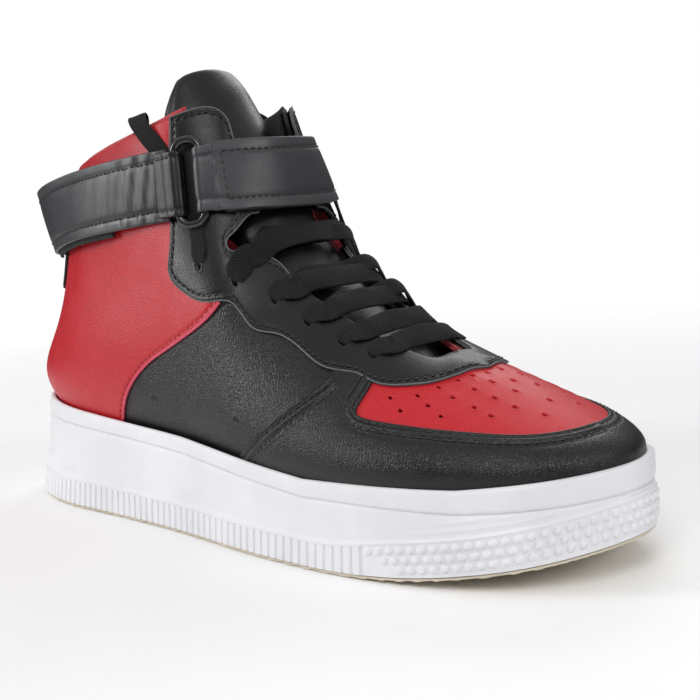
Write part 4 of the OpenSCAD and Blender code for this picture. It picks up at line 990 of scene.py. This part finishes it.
def foot(u, f, d):
    """Point of the sole's wall: f 0 at the ground, 1 at the rim; d outward."""
    u = np.asarray(u, float) % 26
    p = S(u, .06); a, b = tangents(u, .06)
    h = unit(np.stack([a[..., 0], a[..., 1], a[..., 0]*0], -1)); n = np.stack([h[..., 1], -h[..., 0], h[..., 0]*0], -1)
    wall = np.interp(u, np.arange(27), np.append(RW, RW[0]))
    q = p+n*(wall+tab(FL, p[..., 0])*(1-np.clip(f, 0, 1))**1.2+d)[..., None]
    spring = 12*(np.clip(q[..., 0]-60, 0, None)/90)**2
    rim = tab(RZ, p[..., 0])
    q[..., 2] = spring+(rim-spring)*f
    return q, n, rim, spring

NU = 3120
def seam_u():
    uu = np.linspace(0, 26, 6001); P = foot(uu, np.full(6001, .15), np.zeros(6001))[0]
    d = np.concatenate([[0], np.cumsum(np.linalg.norm(np.diff(P, axis=0), axis=1))]); return uu, d
UU, DD = seam_u()
ARC = np.linspace(0, DD[-1], NU, endpoint=False); UA = np.interp(ARC, DD, UU)
RIBEND = 9.3

def cup():
    u = UA; n = len(u)
    q, N, rim, spring = foot(u, np.zeros(n), np.zeros(n))
    p0 = S(u, .06); xx = p0[:, 0]
    H = rim-spring; g = tab(GR, xx); hb = tab(HB, xx)
    # heights above the local bottom where the section has its points
    rows = []
    def row(z, d):
        f = np.clip(z/H, 0, 1.0); Q = foot(u, f, d)[0]; Q[:, 2] = spring+z; rows.append(Q)
    inz = ((u < RIBEND) | (u > 26-RIBEND)).astype(float)
    pitch = DD[-1]/round(DD[-1]/3.9)
    ph = (ARC/pitch) % 1; dist = np.abs(ph-.5)*pitch   # distance from the groove's middle
    gr = np.clip(1-np.clip(dist-.22, 0, None)/.32, 0, 1)
    # distance along the wall to the end of the ribs
    toe = 1-inz
    mt = np.abs(u-13)
    SR = 1.3; SP = 4.0; sp2 = DD[-1]/round(DD[-1]/SP)
    def studs(z, top):
        out = np.zeros(n)
        for r in range(4):
            zc = top-2.6-r*3.3
            a = ((ARC/sp2+.5*(r % 2)) % 1-.5)*sp2
            rr = np.hypot(a, z-zc)/SR
            keep = (np.interp(mt, [0, 3.9-.35*r, 4.0-.35*r], [1, 1, 0]))*((zc > 2.0) & (mt < 3.65-.25*r))
            out = np.maximum(out, .95*np.sqrt(np.clip(1-rr**2*.9, 0, 1))*(rr < 1.05)*keep)
        return out
    M = 74
    zz = np.concatenate([[0, .35, .9], np.linspace(1.4, 15.5, M), np.linspace(16.2, 100, 2)])[:M+3]
    def profile(z):
        """Outward relief at height z above the bottom."""
        d = np.zeros(n)
        band_top = hb
        below = 1/(1+np.exp((z-band_top)/.12))
        rib = np.where(inz > 0, 1-gr*np.clip((z-.4)/.5, 0, 1)*np.clip((band_top-.9-z)/.6, 0, 1), 0.)
        d += below*(.40+inz*(1.05*rib-.72))
        d += toe*studs(z, band_top)*1.0*below
        # a raised line on top of the band
        d += .45*np.exp(-((z-band_top)/.55)**2)
        # heel bar
        x = xx
        bar = np.clip((-93-x)/3, 0, 1)*np.clip((z-(band_top+3.0))/.4, 0, 1)*np.clip((band_top+8.2-z)/.4, 0, 1)
        d += .75*bar
        # faint ridges at the toe
        for k in range(3):
            zc = band_top+2.6+k*2.6
            d += .22*np.clip((x-92)/12, 0, 1)*np.exp(-((z-zc)/.45)**2)*(zc < H-g-1.5)
        # groove under the rim and the rounded rim above it
        zg = H-g
        d -= .9*np.exp(-((z-zg)/.55)**2)
        t = np.clip((z-zg)/np.maximum(g, .1), 0, 1)
        d += np.where(z > zg, .34*np.sin(np.pi*np.clip(t, 0, 1))**.6, 0)
        return d
    row(np.full(n, 1.0), np.full(n, -1.9)); row(np.full(n, 1.0), np.full(n, -.9)); row(np.full(n, 1.12), np.full(n, -.25))
    levels = [np.full(n, 1.35)]
    steps = np.linspace(1.6, 15.6, 76)
    for z in steps:
        levels.append(np.minimum(np.full(n, z), hb+1.6*(z/15.6)))
    base = hb+1.6
    for t in np.linspace(0, 1, 16)[1:]:
        levels.append(base+(H-g-1.2-base)*t)
    for t in np.linspace(0, 1, 9)[1:]:
        levels.append(H-g-1.2+2.4*t)
    for t in np.linspace(0, 1, 9)[1:]:
        levels.append(H-g+1.2+(g-1.2)*t*.995)
    for z in levels:
        row(z, profile(z))
    # over the rim and down inside the cup
    top = rows[-1].copy()
    def rimrow(dz, t):
        inner = S(u, .06)+nrm(u, .06)*1.2
        Q = top*(1-t)+inner*t; Q[:, 2] = spring+H+dz; rows.append(Q)
    rimrow(.45, .25); rimrow(.5, .55); rimrow(.25, .85); rimrow(-.3, 1.0); rimrow(-3, 1.0)
    inner = S(u, .04)+nrm(u, .04)*-1.0
    Q = inner.copy(); Q[:, 2] = np.maximum(inner[:, 2]-6, 3.0+spring); rows.append(Q)
    Rr = np.array(rows)
    # floor of the cup: shrink to the middle line
    c = np.stack([np.clip(Rr[-1][:, 0], -118, 118), np.zeros(n), Rr[-1][:, 2]*0], 1)
    def floor(t, zf):
        Q = Rr[-1]*(1-t)+c*t; Q[:, 2] = zf; return Q
    inn = [floor(t, np.maximum(Rr[-1][:, 2]-.5, 0)+0*t) for t in (.3, .7)]
    inn.append(floor(.97, Rr[-1][:, 2]-.5))
    out = []
    for t in (.97, .7, .3):
        Q = rows[0]*(1-t)+np.stack([c[:, 0], c[:, 1], rows[0][:, 2]], 1)*t
        Q[:, 2] = 12*(np.clip(Q[:, 0]-60, 0, None)/90)**2+1.0; out.append(Q)
    A = out+rows+inn
    L = np.array(A)            # rings x n x 3
    L = np.swapaxes(L, 0, 1)   # n sections, each a closed strip
    V, F = loft(L, shut=True)
    m = L.shape[1]
    return mesh("cupsole", V, F, RUB, "shoe", ["cupsole", "foam_wedge", "strobel_board"], flat_angle=None)
cup()

def tread():
    """The tread: a thin sheet with herringbone grooves and two round pads, its edge seen under the wall."""
    uu = np.linspace(0, 26, 721)[:-1]
    E = foot(uu, np.zeros(720), np.full(720, -.35))[0]; E[:, 2] = 0
    # scalloped edge
    ph = np.interp(uu, UU, DD)
    a, b = tangents(uu, .06); h = unit(np.stack([a[:, 0], a[:, 1], a[:, 0]*0], 1)); N = np.stack([h[:, 1], -h[:, 0], h[:, 0]*0], 1)
    E = E+N*(.35*np.abs(np.sin(ph/7.8*np.pi))[:, None])
    E2 = E[:, :2]
    st = .62
    gx, gy = np.meshgrid(np.arange(-152, 152, st), np.arange(-58, 62, st), indexing="ij")
    G2 = np.stack([gx.ravel(), gy.ravel()], 1); G2 = G2[inside(G2, [E2])]
    dense = resample(np.vstack([E2, E2[:1]]), .8)
    D3 = np.c_[dense, np.zeros(len(dense))]
    de = nearest(np.c_[G2, np.zeros(len(G2))], D3); G2 = G2[de > .8]; de = de[de > .8]
    P = np.vstack([E2, G2]); n = len(E2)
    e = [(i, (i+1) % n) for i in range(n)]
    vs, es, fs, ov, oe, of = delaunay_2d_cdt([tuple(p) for p in P], e, [], 0, 1e-6)
    V2 = np.array([[p[0], p[1]] for p in vs]); F = np.array([f for f in fs if len(f) == 3]); F = F[inside(V2[F].mean(1), [E2])]
    d = nearest(np.c_[V2, np.zeros(len(V2))], D3)
    x, y = V2[:, 0], V2[:, 1]
    # herringbone: grooves that turn every 9 mm across
    s = (x+np.abs(((y/9.0) % 2)-1)*7.5)/5.2
    gr = np.clip((.17-np.abs((s % 1)-.5))/.08, 0, 1)
    for cx, cy, r0 in ((72, -4, 26), (-96, 2, 19)):
        r = np.hypot(x-cx, y-cy); ring = np.clip((.2-np.abs(((r/4.4) % 1)-.5))/.08, 0, 1)
        gr = np.where(r < r0, ring, np.where(r < r0+1.6, 1.0, gr)); gr = np.where(r < 5, 0, gr)
    mid = np.clip(1-np.abs((x+18)/24), 0, 1) > 0
    gr = np.where(mid, np.clip((.14-np.abs(((y/7.0) % 1)-.5))/.06, 0, 1), gr)
    gr = gr*np.clip((d-2.2)/.5, 0, 1)
    spring = 12*(np.clip(x-60, 0, None)/90)**2
    zb = spring+.7*gr+np.where(d < .25, .25, 0)
    zt = spring+.96
    n = len(V2)
    V = np.vstack([np.c_[V2, zt], np.c_[V2, zb]])
    faces = [tuple(f) for f in F]+[tuple(n+f[::-1]) for f in F]
    cnt = {}
    for f in F:
        for i in range(3):
            k = (min(f[i], f[(i+1) % 3]), max(f[i], f[(i+1) % 3])); cnt[k] = cnt.get(k, 0)+1
    for f in F:
        for i in range(3):
            a, b = int(f[i]), int(f[(i+1) % 3])
            if cnt[(min(a, b), max(a, b))] == 1:
                faces.append((b, a, n+a, n+b))
    return mesh("outsole_tread", V, faces, TAN, "shoe", "outsole_tread", flat_angle=35)
tread()

def insole():
    m = 300; uu = np.linspace(0, 26, m+1)[:-1]
    base = S(uu, .04); nn = nrm(uu, .04); z0 = S(uu, 0)[:, 2]
    def lin(d, dz):
        Q = base+nn*(-3.4-d); Q[:, 2] = z0+dz; return Q
    c = np.stack([np.clip(base[:, 0], -118, 112), np.zeros(m), np.zeros(m)], 1)
    A = lin(2.0, 6.4); low = lin(2.4, 2.4); rings = []
    for t in (.98, .6, .25, .06):
        Q = A*(1-t)+c*t; zc = np.interp(c[:, 0], [-118, -60, 0, 60, 112], [40.6, 39.5, 36.5, 31, 32.6])
        Q[:, 2] = (A[:, 2]*(1-t)+zc*t)-(1.6 if t > .1 else .3)*math.sin(min(1, t*2)*math.pi/2); rings.append(Q)
    rings.append(A)
    B = lin(1.7, 6.2); B[:, 2] -= .3; rings.append(B); rings.append(low)
    for t in (.3, .98):
        Q = low*(1-t)+c*t; zc = np.interp(c[:, 0], [-118, -60, 0, 60, 112], [37.4, 36.3, 33.3, 27.8, 29.4])
        Q[:, 2] = low[:, 2]*(1-t)+zc*t; rings.append(Q)
    L = np.swapaxes(np.array(rings), 0, 1)
    V, F = loft(L, shut=True)
    mesh("sockliner", V, F, INSOLE, "shoe", "sockliner")
insole()

# --------------------------------------------------------- camera and light
az, el, roll = math.radians(42.7), math.radians(7.78), math.radians(-3.66)
back_v = np.array([math.sin(az)*math.cos(el), -math.cos(az)*math.cos(el), math.sin(el)])
right_v = np.array([math.cos(az), math.sin(az), 0]); up_v = np.cross(right_v, -back_v)
R2 = math.cos(roll)*right_v+math.sin(roll)*up_v; U2 = -math.sin(roll)*right_v+math.cos(roll)*up_v
cam_at = (np.array([24.31, 6.75, 65.5])+back_v*477.64)/1000
cd = bpy.data.cameras.new("camera"); cam = bpy.data.objects.new("camera", cd); bpy.context.scene.collection.objects.link(cam)
cam.matrix_world = Matrix([[R2[i], U2[i], back_v[i], cam_at[i]] for i in range(3)]+[[0, 0, 0, 1]])
cd.sensor_width = 36; cd.lens = 64.26; cd.clip_start = .01; cd.clip_end = 50
cd.dof.use_dof = False
bpy.context.scene.camera = cam

def area(name, at, target, size, power, color=(1, 1, 1), size_y=None):
    l = bpy.data.lights.new(name, "AREA"); l.energy = power; l.size = size; l.color = color
    if size_y:
        l.shape = "RECTANGLE"; l.size_y = size_y
    o = bpy.data.objects.new(name, l); bpy.context.scene.collection.objects.link(o)
    a = np.array(at, float); z = unit(a-np.array(target, float)); x = unit(np.cross([0, 0, 1], z)); y = np.cross(z, x)
    o.matrix_world = Matrix([[x[i], y[i], z[i], a[i]] for i in range(3)]+[[0, 0, 0, 1]])
    return o

area("key", (.45, -.75, .75), (0, 0, .07), .5, 3.7)
area("fill", (-.72, -.62, .36), (-.02, -.04, .07), .24, 3.9, size_y=.5)
area("toe_light", (.95, .10, .50), (.08, 0, .05), .3, 2.2)
area("rim_light", (-.35, .8, .7), (0, 0, .08), .5, 2.4)
area("top", (0, 0, 1.1), (0, 0, 0), .7, 2.4)

w = bpy.data.worlds.new("studio"); bpy.context.scene.world = w; w.use_nodes = True
bg = w.node_tree.nodes["Background"]; bg.inputs[0].default_value = (1, 1, 1, 1); 
nt = w.node_tree; tcw = nt.nodes.new("ShaderNodeTexCoord"); sepw = nt.nodes.new("ShaderNodeSeparateXYZ"); nt.links.new(tcw.outputs["Generated"], sepw.inputs[0])
nt.links.new(ramp(nt, sepw.outputs[2], .12, .7, .03, .60), bg.inputs[1])
lp = w.node_tree.nodes.new("ShaderNodeLightPath"); bg2 = w.node_tree.nodes.new("ShaderNodeBackground"); mx = w.node_tree.nodes.new("ShaderNodeMixShader")
bg2.inputs[0].default_value = (1, 1, 1, 1); bg2.inputs[1].default_value = 1.0
w.node_tree.links.new(lp.outputs["Is Camera Ray"], mx.inputs[0]); w.node_tree.links.new(bg.outputs[0], mx.inputs[1]); w.node_tree.links.new(bg2.outputs[0], mx.inputs[2])
w.node_tree.links.new(mx.outputs[0], w.node_tree.nodes["World Output"].inputs["Surface"])

fm = bpy.data.meshes.new("floor"); fm.from_pydata([(-6, -6, -.0002), (6, -6, -.0002), (6, 6, -.0002), (-6, 6, -.0002)], [], [(0, 1, 2, 3)])
FLOORM = material("studio_floor", (.97, .97, .97), .8, rubber((.965, .965, .965), (.975, .975, .975), 60, .00002, .05), spec=.1); fm.materials.append(FLOORM)
nt = FLOORM.node_tree; vl2 = nt.nodes.new("ShaderNodeVectorMath"); vl2.operation = "LENGTH"; link(nt, coords(nt), vl2.inputs[0])
tr = nt.nodes.new("ShaderNodeBsdfTransparent"); ms = nt.nodes.new("ShaderNodeMixShader")
link(nt, ramp(nt, vl2.outputs["Value"], .32, .70), ms.inputs[0]); link(nt, nt.nodes["Principled BSDF"].outputs[0], ms.inputs[1]); link(nt, tr.outputs[0], ms.inputs[2])
link(nt, ms.outputs[0], nt.nodes["Material Output"].inputs["Surface"])
floor_o = bpy.data.objects.new("floor", fm); bpy.context.scene.collection.objects.link(floor_o)
bpy.context.scene.view_settings.view_transform = "Standard"
